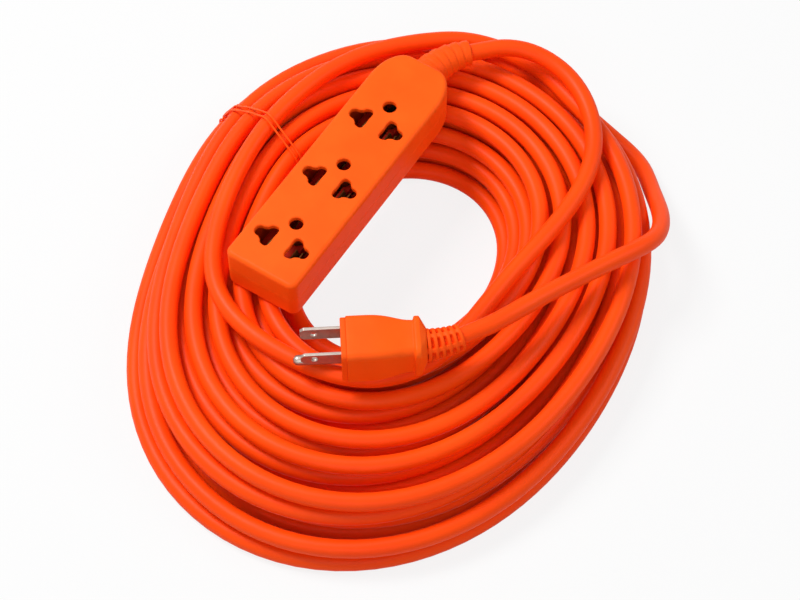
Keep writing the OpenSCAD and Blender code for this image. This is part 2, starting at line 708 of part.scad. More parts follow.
function twist_pt(i, half) = let (a = 60 * i + 180 * half)
    twist_from + (twist_to - twist_from) * i / 12
    + 0.74 * tie_d * (cos(a) * twist_n + sin(a) * cross(twist_axis, twist_n));
bight = strand(0.8214, 2) + [4.6, -2.2];
tie_path = concat(
    [for (i = [12:-1:0]) twist_pt(i, 1)],
    [tie_pt(outer(TIE_A) + 0.3, 0.6, 13.9)],
    [for (q = tie_ring) tie_pt(q[0], -tie_pitch / 2, q[1])],
    [for (a = [-50, 0, 50]) tie_pt(bight[0] + 0.5 * cos(a), tie_pitch / 2 * sin(a),
        bight[1] - 1.6 * cos(a))],
    [for (i = [len(tie_ring) - 1:-1:0]) tie_pt(tie_ring[i][0], tie_pitch / 2, tie_ring[i][1])],
    [for (i = [0:12]) twist_pt(i, 0)]);

module cord_tie() {
    color(DARK_ORANGE) free_tube(tie_path, tie_d, 6, tie_t);
}

// ---- plug, in its own frame: x forward out of its face, z = 0 at its underside
plug_at = [-70, -19.5, coil_top + lay_gap + cord_d + seat_gap];
plug_h = plug_under + ground_offset + plug_over;
blade_z = plug_under + ground_offset;
axis_z = 11.5;
plug_x = -plug_len;

module in_plug() {
    translate(plug_at) rotate([0, 0, plug_heading]) children();
}

back_at = plug_at + plug_x * [cos(plug_heading), sin(plug_heading), 0] + [0, 0, axis_z];
tail_a = plug_heading + 180 + tail_bend;
tail_dir = [cos(tail_a), sin(tail_a), 0];
tail_start = back_at + tail_bend_r * [sin(plug_heading) + sin(tail_a),
    -cos(plug_heading) - cos(tail_a), 0];

// Half outline from above: straight at the face, drawn in to the waist, then the collar
waist_x0 = -9;
waist_x1 = plug_x + collar_l + 2.2;
function half_plan() = concat([[0, plug_face_w / 2]],
    [for (i = [0:10]) let (u = i / 10) [waist_x0 + (waist_x1 - waist_x0) * u,
        plug_waist_w / 2 + (plug_face_w - plug_waist_w) / 4 * (1 + cos(180 * u))]],
    [[plug_x + collar_l + 1, plug_waist_w / 2 + 0.2], [plug_x + collar_l, collar_w / 2],
        [plug_x + 1, collar_w / 2], [plug_x, collar_w / 2 - 1.2]]);
function half_side() = concat([[0, plug_h], [waist_x0, plug_h]],
    [for (i = [1:8]) let (u = i / 8) [waist_x0 + (waist_x1 - waist_x0) * u,
        plug_h - plug_drop * (1 - cos(180 * u)) / 2]],
    [[plug_x + collar_l + 1, plug_h - plug_drop + 0.2], [plug_x + collar_l, plug_h - 1.6],
        [plug_x + 1, plug_h - 1.6], [plug_x, plug_h - 2.8]]);

module plug_form() {
    intersection() {
        linear_extrude(plug_h) polygon(concat(half_plan(),
            [for (i = [len(half_plan()) - 1:-1:0]) [half_plan()[i][0], -half_plan()[i][1]]]));
        translate([0, collar_w, 0]) rotate([90, 0, 0]) linear_extrude(2 * collar_w)
            polygon(concat(half_side(), [[plug_x, 1], [plug_x + 1, 0], [0, 0]]));
        translate([plug_x, 0, 0]) rotate([90, 0, 90]) linear_extrude(plug_len) polygon(
            rounded(-plug_face_w / 2, plug_face_w / 2, 0, plug_h, plug_edge_r));
    }
}

module face_outline(g) {
    rotate([90, 0, 90]) linear_extrude(insert_t) polygon(rounded(-plug_face_w / 2 + g,
        plug_face_w / 2 - g, g, plug_h - g, plug_edge_r - g));
}

module prong_holes(g, x0, x1) {
    for (q = [[1, live_w], [-1, neutral_w]])
        translate([x0, q[0] * blade_pitch / 2 - blade_t / 2 - g, blade_z - q[1] / 2 - g])
            cube([x1 - x0, blade_t + 2 * g, q[1] + 2 * g]);
    translate([x0, 0, plug_under]) rotate([0, 90, 0])
        cylinder(r = pin_root_r + g, h = x1 - x0, $fn = 48);
}

// Overmoulded body behind the insert, with pockets for the prong roots
module plug_body() {
    color(ORANGE) in_plug() difference() {
        plug_form();
        translate([-insert_t, -collar_w, -1]) cube([2 * insert_t, 2 * collar_w, plug_h + 2]);
        prong_holes(fit_gap, -insert_t - root_l, 0);
    }
}

module plug_insert() {
    color(DARK_ORANGE) in_plug() difference() {
        translate([-insert_t, 0, 0]) face_outline(insert_inset);
        prong_holes(fit_gap, -insert_t - 1, 1);
    }
}

// Blade with a chamfered tip and a detent hole
module blade(w) {
    c = 1.6;
    x0 = -insert_t - root_l;
    difference() {
        rotate([90, 0, 0]) linear_extrude(blade_t, center = true) polygon([[x0, -w / 2],
            [blade_l - c, -w / 2], [blade_l, -w / 2 + c], [blade_l, w / 2 - c],
            [blade_l - c, w / 2], [x0, w / 2]]);
        translate([blade_hole_x, 0, 0]) rotate([90, 0, 0])
            cylinder(d = blade_hole_d, h = 2 * blade_t, center = true, $fn = 32);
    }
}

module live_blade() {
    color(STEEL) in_plug() translate([0, blade_pitch / 2, blade_z]) blade(live_w);
}

module neutral_blade() {
    color(STEEL) in_plug() translate([0, -blade_pitch / 2, blade_z]) blade(neutral_w);
}

// Round ground pin with a domed end and a thinner root, turned from one profile
module ground_pin() {
    r = pin_d / 2;
    color(STEEL) in_plug() translate([-insert_t - root_l, 0, plug_under]) rotate([0, 90, 0])
        rotate_extrude($fn = 48) polygon(concat([[0, 0], [pin_root_r, 0],
            [pin_root_r, insert_t + root_l], [r, insert_t + root_l]],
            [for (i = [0:8]) let (a = 90 * i / 8)
                [i == 8 ? 0 : r * cos(a), insert_t + root_l + pin_l - r + r * sin(a)]]));
}

module plug_relief() {
    color(ORANGE) translate(back_at) rotate([0, 0, plug_heading + 180]) mirror([0, 1, 0])
        bent_relief(tail_bend_r, tail_bend, tail_root_r, tail_tip_r, tail_ribs,
            cord_d / 2 + 0.8);
}

block_base();
block_cover();
contact_carrier();
live_bus();
neutral_bus();
ground_bus();
cover_screws();
cord_clamp();
clamp_screws();
live_wire();
neutral_wire();
ground_wire();
jacket_end();
block_relief();
cord_lead();
cord_coil();
cord_tail();
cord_tie();
plug_body();
plug_insert();
live_blade();
neutral_blade();
ground_pin();
plug_relief();
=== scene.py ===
"""A coiled orange extension cord with a three-outlet block and a grounded plug.

Everything stands in the frame of the solid model: the origin on the floor in the middle of
the coil's eye, +X along the outlet block towards its cord end and +Z up. Sizes are written
in millimetres, and the meshes are in metres.
"""

from __future__ import annotations

import logging
import math
from dataclasses import dataclass
from enum import Enum
from functools import cache
from typing import Any, Sequence

import bmesh
import bpy
import numpy as np
from mathutils import Matrix, Vector

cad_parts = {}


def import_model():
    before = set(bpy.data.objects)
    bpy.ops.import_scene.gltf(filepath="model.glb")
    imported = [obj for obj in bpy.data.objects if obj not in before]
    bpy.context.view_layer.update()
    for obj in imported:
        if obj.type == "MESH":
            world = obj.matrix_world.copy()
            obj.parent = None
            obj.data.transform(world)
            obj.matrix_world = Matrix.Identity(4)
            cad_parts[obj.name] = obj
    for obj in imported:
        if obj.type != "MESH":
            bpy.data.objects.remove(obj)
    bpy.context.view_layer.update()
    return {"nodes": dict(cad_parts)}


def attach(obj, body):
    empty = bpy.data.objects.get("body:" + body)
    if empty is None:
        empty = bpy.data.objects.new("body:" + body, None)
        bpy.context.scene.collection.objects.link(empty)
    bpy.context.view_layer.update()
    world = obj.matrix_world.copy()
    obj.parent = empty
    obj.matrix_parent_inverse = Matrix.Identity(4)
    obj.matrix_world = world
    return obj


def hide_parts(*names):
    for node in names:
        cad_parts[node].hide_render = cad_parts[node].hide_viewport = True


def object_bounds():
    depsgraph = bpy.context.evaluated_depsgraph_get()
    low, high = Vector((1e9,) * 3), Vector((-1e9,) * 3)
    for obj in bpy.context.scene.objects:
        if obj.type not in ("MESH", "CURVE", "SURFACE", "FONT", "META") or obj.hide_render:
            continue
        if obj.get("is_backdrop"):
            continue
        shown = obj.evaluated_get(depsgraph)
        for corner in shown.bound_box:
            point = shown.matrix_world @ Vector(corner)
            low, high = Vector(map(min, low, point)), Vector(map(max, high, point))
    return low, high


LOG = logging.getLogger("extension_cord")
MM = 0.001
ROUND = 48  # corners of a round hole or rod
HERE = Matrix()
Colour = tuple[float, float, float]
Point = tuple[float, float]
Point3 = tuple[float, float, float]
Piece = bpy.types.Object
Material = bpy.types.Material
Noise = tuple[float, float, float]  # its scale, its finer layers and their strength


def unit(v: np.ndarray) -> np.ndarray:
    """Return v with a length of one."""
    return v / np.linalg.norm(v)


def cosd(degrees: float) -> float:
    """Return the cosine of an angle in degrees."""
    return math.cos(math.radians(degrees))


def sind(degrees: float) -> float:
    """Return the sine of an angle in degrees."""
    return math.sin(math.radians(degrees))


def vec(*xyz: float) -> np.ndarray:
    """Return a point as an array."""
    return np.array(xyz, float)


def moved(*by: float) -> Matrix:
    """Return a move by millimetres as a matrix in metres."""
    return Matrix.Translation(Vector(by) * MM)


def circle(radius: float, count: int = ROUND) -> list[Point]:
    """Return the corners of a circle round the origin."""
    return [(radius * cosd(360 / count * k), radius * sind(360 / count * k)) for k in range(count)]


def raised(outline: Sequence[Point], z: float) -> list[Point3]:
    """Return a flat outline at a height."""
    return [(x, y, z) for x, y in outline]


class Curve(Enum):
    """How a curve follows its points: weights of four neighbours for each power of the way."""

    THROUGH = ((0, 1, 0, 0), (-0.5, 0, 0.5, 0), (1, -2.5, 2, -0.5), (-0.5, 1.5, -1.5, 0.5))
    EASED = (
        (1 / 6, 2 / 3, 1 / 6, 0), (-0.5, 0, 0.5, 0), (0.5, -1, 0.5, 0), (-1 / 6, 0.5, -0.5, 1 / 6)
    )

    def along(self, points: Sequence[Sequence[float]], fine: int = 4) -> np.ndarray:
        """Return the curve from its second control point to just before its last but one.

        Args:
            points: the control points.
            fine: steps from each to the next.

        Returns:
            The points of the curve.
        """
        powers = (np.arange(fine)[:, None] / fine) ** np.arange(4)
        weights = powers @ np.array(self.value)
        c = np.array(points, float)
        return np.vstack([weights @ c[i : i + 4] for i in range(len(c) - 3)])


# ---------------------------------------------------------------- node trees


class Value:
    """An output of a node tree; operators add the Math nodes that they stand for."""

    def __init__(self, tree: Tree, socket: bpy.types.NodeSocket) -> None:
        """Wrap one output socket of a tree."""
        self.tree = tree
        self.socket = socket

    def math(self, operation: str, other: Value | float = 0.0, clamp: bool = False) -> Value:
        """Return the result of a Math node, held between 0 and 1 where clamp is set."""
        terms = [self, other]
        return self.tree.add("ShaderNodeMath", terms, operation=operation, use_clamp=clamp)

    def __add__(self, other: Value | float) -> Value:
        """Return self + other."""
        return self.math("ADD", other)

    __radd__ = __add__

    def __sub__(self, other: Value | float) -> Value:
        """Return self - other."""
        return self.math("SUBTRACT", other)

    def __rsub__(self, other: float) -> Value:
        """Return other - self."""
        return self * -1.0 + other

    def __mul__(self, other: Value | float) -> Value:
        """Return self * other."""
        return self.math("MULTIPLY", other)

    __rmul__ = __mul__

    def __truediv__(self, other: Value | float) -> Value:
        """Return self / other."""
        return self.math("DIVIDE", other)

    def sin(self) -> Value:
        """Return the sine, for an angle in radians."""
        return self.math("SINE")

    def cos(self) -> Value:
        """Return the cosine, for an angle in radians."""
        return self.math("COSINE")

    def held(self) -> Value:
        """Return the value held between 0 and 1."""
        return self.math("ADD", clamp=True)

    def above(self, low: float, high: float) -> Value:
        """Return 0 below low and 1 above high, with a straight rise between them."""
        return ((self - low) / (high - low)).held()

    def beside(self, name: str) -> Value:
        """Return another output of the same node."""
        return Value(self.tree, self.socket.node.outputs[name])


class Tree:
    """A node tree and one way to add any node to it."""

    def __init__(self, tree: bpy.types.NodeTree) -> None:
        """Wrap a tree and empty it."""
        self.tree = tree
        tree.nodes.clear()

    def add(self, kind: str, inputs: Any = (), pick: int | str = 0, **settings: Any) -> Value:
        """Add a node.

        Args:
            kind: the node's type.
            inputs: values or links of its sockets, in order, or by name or place; a list of
                links goes into one socket.
            pick: the output to return.
            settings: its properties, which are set before its sockets.

        Returns:
            One of the node's outputs.
        """
        node = self.tree.nodes.new(kind)
        for name, setting in settings.items():
            setattr(node, name, setting)
        for key, term in inputs.items() if isinstance(inputs, dict) else enumerate(inputs):
            for one in term if isinstance(term, list) else [term]:
                if isinstance(one, Value):
                    self.tree.links.new(one.socket, node.inputs[key])
                else:
                    node.inputs[key].default_value = one
        return Value(self, node.outputs[pick])

    def end(self, kind: str, result: Value) -> None:
        """Add the tree's output node and link the result to it."""
        self.tree.links.new(result.socket, self.tree.nodes.new(kind).inputs[0])

    def vector(self, x: Value | float, y: Value | float, z: Value | float) -> Value:
        """Return a vector from three numbers."""
        return self.add("ShaderNodeCombineXYZ", [x, y, z])

    def seen(self, directly: float, mirrored: float) -> Value:
        """Return a share for what the camera sees, straight or in or through another surface.

        Args:
            directly: the share on rays from the camera.
            mirrored: the share on glossy and transmitted rays.

        Returns:
            The larger of the two on each ray, and 0 on others.
        """
        rays = self.add("ShaderNodeLightPath", pick="Is Camera Ray")
        share = rays * directly
        for name in ("Is Glossy Ray", "Is Transmission Ray"):
            share = share.math("MAXIMUM", rays.beside(name) * mirrored)
        return share


class Shader(Tree):
    """The node tree of one material."""

    MIX_ENDS = (6, 7)  # the colour sockets of a Mix node
    MIX_RESULT = 2  # its colour output

    def __init__(self, name: str) -> None:
        """Start an empty material.

        Args:
            name: the material's name.
        """
        self.material = bpy.data.materials.new(name)
        self.material.use_nodes = True
        super().__init__(self.material.node_tree)

    def place(self, scale: Sequence[float] = (1, 1, 1), turn: float = 0.0) -> Value:
        """Return Object coordinates, turned about Z and scaled.

        Args:
            scale: scale along each axis.
            turn: angle about Z in degrees, taken out before the scale.

        Returns:
            The coordinates.
        """
        at = self.add("ShaderNodeTexCoord", pick="Object")
        back = (0, 0, -math.radians(turn))
        turned = self.add("ShaderNodeMapping", {"Vector": at, "Rotation": back})
        return self.add("ShaderNodeMapping", {"Vector": turned, "Scale": scale})

    def noise(self, where: Value, scale: float, detail: float, rough: float) -> Value:
        """Return smooth noise between 0 and 1, with some finer layers of a strength."""
        sockets = {"Vector": where, "Scale": scale, "Detail": detail, "Roughness": rough}
        return self.add("ShaderNodeTexNoise", sockets)

    def mixed(self, share: Value, first: Value | Colour, second: Value | Colour) -> Value:
        """Return a colour between two.

        Args:
            share: 0 for the first colour, 1 for the second.
            first: the first colour.
            second: the second colour.

        Returns:
            The colour.
        """
        ends = [c if isinstance(c, Value) else (*c, 1.0) for c in (first, second)]
        sockets = {0: share, **dict(zip(self.MIX_ENDS, ends))}
        return self.add("ShaderNodeMix", sockets, self.MIX_RESULT, data_type="RGBA")

    def bump(
        self, height: Value, depth: float, strength: float, under: Value | None = None
    ) -> Value:
        """Return a normal bent by a height.

        Args:
            height: height between 0 and 1.
            depth: the height that 1 stands for, in millimetres.
            strength: share of the effect.
            under: normal that it is laid over.

        Returns:
            The normal.
        """
        sockets = {"Height": height, "Distance": depth * MM, "Strength": strength}
        if under is not None:
            sockets["Normal"] = under
        return self.add("ShaderNodeBump", sockets)

    def finish(self, sockets: dict[str, Any]) -> Material:
        """Close the tree with one Principled shader and return the material."""
        self.end("ShaderNodeOutputMaterial", self.add("ShaderNodeBsdfPrincipled", sockets))
        return self.material


# ---------------------------------------------------------------- finishes


@dataclass(frozen=True)
class MouldedPvc:
    """Soft moulded PVC with a fine eroded grain and slight flow clouds."""

    name: str
    light: Colour
    deep: Colour
    roughness: float = 0.5
    grain_depth: float = 0.035
    cloud_depth: float = 0.25
    specular: float = 0.12
    clouds: Noise = (45, 4, 0.55)
    mottle: Noise = (420, 3, 0.6)
    grain: Noise = (2600, 2, 0.5)
    pore_scale: float = 1500

    def material(self) -> Material:
        """Build the finish.

        Returns:
            The material.
        """
        s = Shader(self.name)
        at = s.place()
        clouds = s.noise(at, *self.clouds)
        mottle = s.noise(at, *self.mottle)
        grain = s.noise(at, *self.grain)
        pores = s.add("ShaderNodeTexVoronoi", {"Vector": at, "Scale": self.pore_scale})
        colour = s.mixed(clouds.above(0.35, 0.65), self.deep, self.light)
        colour = s.mixed(mottle.above(0.62, 0.8) * 0.25, colour, self.deep)
        rough = (mottle - 0.5) * 0.16 + (clouds - 0.5) * 0.1 + self.roughness
        normal = s.bump(grain * 0.6 + pores * 0.4, self.grain_depth, 0.7)
        normal = s.bump(clouds, self.cloud_depth, 0.25, normal)
        return s.finish({
            "Base Color": colour, "Roughness": rough.held(), "Normal": normal,
            "Specular IOR Level": self.specular,
        })


@dataclass(frozen=True)
class CordJacket:
    """Extruded PVC jacket: draw lines along it, a faint lay of the wires inside, soft gloss.

    The UV map runs once round the jacket in u and along it in metres in v.
    """

    name: str
    light: Colour
    deep: Colour
    lay: float = 0.085
    lobes: int = 3
    roughness: float = 0.44
    specular: float = 0.14
    lay_depth: float = 0.09
    line_depth: float = 0.03
    line_stretch: float = 4
    grain_depth: float = 0.02
    lines: Noise = (7, 4, 0.65)
    clouds: Noise = (22, 3, 0.5)
    mottle: Noise = (520, 3, 0.6)
    grain: Noise = (2400, 2, 0.5)

    def material(self) -> Material:
        """Build the finish.

        Returns:
            The material.
        """
        s = Shader(self.name)
        map_uv = s.add("ShaderNodeTexCoord", pick="UV")
        split = s.add("ShaderNodeSeparateXYZ", [map_uv])
        turn, along = split * math.tau, split.beside("Y")
        around = s.vector(turn.cos(), turn.sin(), along * self.line_stretch)
        at = s.place()
        lines = s.noise(around, *self.lines)
        clouds = s.noise(at, *self.clouds)
        mottle = s.noise(at, *self.mottle)
        grain = s.noise(at, *self.grain)
        lay = (turn * float(self.lobes) + along * (math.tau / self.lay)).sin() * 0.5 + 0.5
        colour = s.mixed(clouds.above(0.3, 0.7), self.deep, self.light)
        colour = s.mixed(lines.above(0.55, 0.8) * 0.22, colour, self.deep)
        rough = (lines - 0.5) * 0.18 + (mottle - 0.5) * 0.14 + self.roughness
        normal = s.bump(lay, self.lay_depth, 0.8)
        normal = s.bump(lines, self.line_depth, 0.6, normal)
        normal = s.bump(grain, self.grain_depth, 0.5, normal)
        return s.finish({
            "Base Color": colour, "Roughness": rough.held(), "Normal": normal,
            "Specular IOR Level": self.specular,
        })


@dataclass(frozen=True)
class DrawnMetal:
    """Plated or bare metal with fine draw lines along one direction and a few dull spots."""

    name: str
    colour: Colour
    dull: Colour
    roughness: float
    run: float = 0.0
    line_scale: Point3 = (60, 2200, 2200)
    line_depth: float = 0.006
    lines: Noise = (1, 4, 0.6)
    spots: Noise = (260, 4, 0.6)

    def material(self) -> Material:
        """Build the finish.

        Returns:
            The material.
        """
        s = Shader(self.name)
        lines = s.noise(s.place(self.line_scale, self.run), *self.lines)
        spots = s.noise(s.place(), *self.spots)
        colour = s.mixed(spots.above(0.48, 0.75) * 0.6, self.colour, self.dull)
        rough = (lines - 0.5) * 0.2 + spots.above(0.45, 0.75) * 0.16 + self.roughness
        return s.finish({
            "Base Color": colour, "Metallic": 1.0, "Roughness": rough.held(),
            "Normal": s.bump(lines, self.line_depth, 0.5),
        })


@dataclass(frozen=True)
class InnerPlastic:
    """Matt plastic of the pieces inside the block."""

    name: str
    colour: Colour
    roughness: float = 0.6
    specular: float = 0.15
    grain_depth: float = 0.02
    mottle: Noise = (380, 4, 0.6)
    grain: Noise = (2200, 2, 0.5)

    def material(self) -> Material:
        """Build the finish.

        Returns:
            The material.
        """
        s = Shader(self.name)
        at = s.place()
        mottle = s.noise(at, *self.mottle)
        paler = tuple(min(1.0, c * 1.25 + 0.002) for c in self.colour)
        return s.finish({
            "Base Color": s.mixed(mottle.above(0.4, 0.75), self.colour, paler),
            "Specular IOR Level": self.specular,
            "Roughness": ((mottle - 0.5) * 0.2 + self.roughness).held(),
            "Normal": s.bump(s.noise(at, *self.grain), self.grain_depth, 0.6),
        })


class Finish(Enum):
    """The finishes of this object's pieces."""

    SHELL = MouldedPvc("shell_pvc", (0.99, 0.112, 0.005), (0.98, 0.096, 0.0035))
    FACE_INSERT = MouldedPvc("insert_pvc", (0.98, 0.1, 0.004), (0.96, 0.084, 0.003), 0.54)
    RELIEF = MouldedPvc("relief_pvc", (0.985, 0.098, 0.004), (0.97, 0.082, 0.003), 0.54, 0.025)
    JACKET = CordJacket("cord_jacket", (0.99, 0.078, 0.002), (0.98, 0.061, 0.002))
    TIE = CordJacket("tie_jacket", (0.98, 0.1, 0.005), (0.96, 0.085, 0.004), lay=0.012, lobes=2)
    NICKEL = DrawnMetal("nickel_plate", (0.42, 0.35, 0.31), (0.28, 0.21, 0.18), 0.34, 126)
    # The contact brass is painted far darker than bare brass: painted shade, so the contacts seen
    # in the slots stay dark.
    BRASS = DrawnMetal("contact_brass", (0.34, 0.15, 0.04), (0.18, 0.07, 0.02), 0.55)
    STEEL = DrawnMetal("screw_steel", (0.6, 0.6, 0.6), (0.4, 0.39, 0.38), 0.3)
    # The carrier's red is painted shade: it stands for the orange walls of the slots in shadow, as
    # seen through the slots.
    CARRIER = InnerPlastic("carrier_plastic", (0.5, 0.018, 0.004), 0.75)
    BLACK_WIRE = InnerPlastic("black_insulation", (0.02, 0.02, 0.02), 0.45)
    WHITE_WIRE = InnerPlastic("white_insulation", (0.78, 0.77, 0.74), 0.45)
    GREEN_WIRE = InnerPlastic("green_insulation", (0.05, 0.3, 0.1), 0.45)


INNER_FINISHES: dict[str, Finish] = {
    "contact_carrier": Finish.CARRIER,
    "cord_clamp": Finish.CARRIER,
    "live_bus": Finish.BRASS,
    "neutral_bus": Finish.BRASS,
    "ground_bus": Finish.BRASS,
    "clamp_screws": Finish.STEEL,
    "live_wire": Finish.BLACK_WIRE,
    "neutral_wire": Finish.WHITE_WIRE,
    "ground_wire": Finish.GREEN_WIRE,
    "jacket_end": Finish.SHELL,
}


@cache
def material_of(finish: Finish) -> Material:
    """Return the material of a finish, made once for all the pieces that wear it."""
    return finish.value.material()


def coat(piece: Piece, finish: Finish) -> None:
    """Put a finish on every material slot of a piece.

    Args:
        piece: the piece.
        finish: what it wears.
    """
    if not piece.material_slots:
        piece.data.materials.append(None)
    for place in piece.material_slots:
        place.material = material_of(finish)


def dress(piece: Piece, finish: Finish, slot: str, *nodes: str) -> Piece:
    """Paint a piece, set it on the one body and hide the nodes that it replaces.

    Args:
        piece: the piece.
        finish: what it wears.
        slot: not used.
        nodes: the solid model's nodes that it replaces.

    Returns:
        The piece.
    """
    coat(piece, finish)
    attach(piece, "root")
    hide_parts(*nodes)
    return piece


# ---------------------------------------------------------------- meshes


def put(name: str, data: Any) -> Piece:
    """Set a new object in the scene.

    Args:
        name: the object's name.
        data: the mesh, lamp or camera that it holds.

    Returns:
        The object.
    """
    piece = bpy.data.objects.new(name, data)
    bpy.context.scene.collection.objects.link(piece)
    return piece


def mesh(name: str, points: Any, faces: Sequence[Sequence[int]], place: Matrix = HERE) -> Piece:
    """Make a smooth object from points and faces.

    Args:
        name: the object's name.
        points: corners in millimetres.
        faces: corner numbers of each face, seen anticlockwise from outside.
        place: where the local frame stands, in metres.

    Returns:
        The object, at the origin, with its place in its mesh.
    """
    data = bpy.data.meshes.new(name)
    data.from_pydata([[c * MM for c in p] for p in points], [], faces)
    data.validate()
    data.transform(place)
    data.shade_smooth()
    return put(name, data)


def skin(rows: int, n: int) -> list[list[int]]:
    """Return the faces of a closed skin over rings of corners.

    Args:
        rows: number of rings.
        n: corners of each ring.

    Returns:
        The first cap, the faces between the rings, and the last cap.
    """
    i, k = np.meshgrid(np.arange(rows - 1), np.arange(n), indexing="ij")
    j = (k + 1) % n
    quads = np.stack([i * n + k, i * n + j, (i + 1) * n + j, (i + 1) * n + k], -1)
    ends = [[(rows - 1) * n + c for c in range(n)]]
    return [list(range(n))[::-1]] + quads.reshape(-1, 4).tolist() + ends


def loft(name: str, rings: Sequence[Sequence[Point3]], place: Matrix = HERE) -> Piece:
    """Make a closed skin through rings of equal count, with a cap at each end.

    Args:
        name: the object's name.
        rings: rings of corners in millimetres.
        place: where the local frame stands.

    Returns:
        The object.
    """
    corners = [corner for ring in rings for corner in ring]
    piece = mesh(name, corners, skin(len(rings), len(rings[0])), place)
    outward(piece)
    return piece


def tube(name: str, path: np.ndarray, diameter: float, sides: int) -> Piece:
    """Sweep a round section along a path, pressed flat where it meets the floor.

    Args:
        name: the object's name.
        path: points in millimetres.
        diameter: diameter in millimetres.
        sides: corners of the section.

    Returns:
        The object, with a UV map once round it and along it in metres.
    """
    steps = np.diff(path, axis=0)
    sizes = np.linalg.norm(steps, axis=1)
    run = steps / sizes[:, None]
    tangents = np.vstack([run[:1], run[1:] + run[:-1], run[-1:]])
    tangents /= np.linalg.norm(tangents, axis=1)[:, None]
    normal, normals = vec(0, 0, 1), []
    for tangent in tangents:
        normal = unit(normal - (normal @ tangent) * tangent)
        normals.append(normal)
    across = np.array(normals)
    sideways = np.cross(tangents, across)
    angle = (math.tau * np.arange(sides) / sides)[:, None]
    ring = np.cos(angle) * across[:, None] + np.sin(angle) * sideways[:, None]
    points = (path[:, None] + diameter / 2 * ring).reshape(-1, 3)
    points[:, 2] = np.maximum(points[:, 2], 0)
    faces = skin(len(path), sides)
    piece = mesh(name, points, faces)
    length = np.append(0, np.cumsum(sizes)) * MM
    quads = np.array(faces[1:-1])
    u = (quads[:, :1] % sides + np.array([0, 1, 1, 0])) / sides
    sheet = np.stack([u, length[quads // sides]], -1).reshape(-1, 2)
    caps = [np.full((sides, 2), (0, v)) for v in length[[0, -1]]]
    layer = piece.data.uv_layers.new(name="run")
    layer.data.foreach_set("uv", np.vstack([caps[0], sheet, caps[1]]).astype(np.float32).ravel())
    return piece


def cylinder(at: Sequence[float], axis: Sequence[float], radius: float, length: float) -> Piece:
    """Make a closed cylinder that serves to cut or to join.

    Args:
        at: the middle of its first end, in millimetres.
        axis: its direction.
        radius: its radius.
        length: its length.

    Returns:
        The cylinder.
    """
    place = moved(*at) @ Vector(axis).to_track_quat("Z", "Y").to_matrix().to_4x4()
    return loft("rod", [raised(circle(radius), z) for z in (0, length)], place)


def outward(piece: Piece, *others: Piece) -> None:
    """Join other meshes to a piece, remove those and turn all faces outwards.

    Args:
        piece: the piece.
        others: what is joined to it.
    """
    work = bmesh.new()
    for one in (piece, *others):
        work.from_mesh(one.data)
    bmesh.ops.recalc_face_normals(work, faces=work.faces)
    work.to_mesh(piece.data)
    work.free()
    for other in others:
        bpy.data.objects.remove(other)


def modify(piece: Piece, kind: str, **settings: Any) -> bpy.types.Modifier:
    """Add a modifier to a piece.

    Args:
        piece: the piece.
        kind: the modifier's type.
        settings: its properties.

    Returns:
        The modifier.
    """
    change = piece.modifiers.new(kind.lower(), kind)
    for name, setting in settings.items():
        setattr(change, name, setting)
    return change


def settle(piece: Piece) -> None:
    """Turn a piece's modifiers into plain mesh.

    Args:
        piece: the piece.
    """
    view = bpy.context.evaluated_depsgraph_get()
    data = bpy.data.meshes.new_from_object(piece.evaluated_get(view))
    data.name = piece.name
    piece.modifiers.clear()
    piece.data = data


class Shape(Enum):
    """What one closed mesh does to another."""

    ADD = "UNION"
    CUT = "DIFFERENCE"

    def apply(self, piece: Piece, tools: Sequence[Piece]) -> None:
        """Add tools that don't meet one another to a piece, or cut them out, and remove them.

        Args:
            piece: the piece.
            tools: closed meshes.
        """
        for tool in tools:
            modify(piece, "BOOLEAN", operation=self.value, solver="EXACT", object=tool)
        settle(piece)
        for tool in tools:
            bpy.data.objects.remove(tool)


def soften(piece: Piece, width: float, segments: int, angle: float) -> None:
    """Round a piece's sharp edges.

    Args:
        piece: the piece.
        width: width of the rounding in millimetres.
        segments: faces across it.
        angle: edges that turn by more than this are rounded, in degrees.
    """
    limit = math.radians(angle)
    modify(piece, "BEVEL", width=width * MM, segments=segments, angle_limit=limit)
    modify(piece, "WEIGHTED_NORMAL", keep_sharp=True)
    settle(piece)


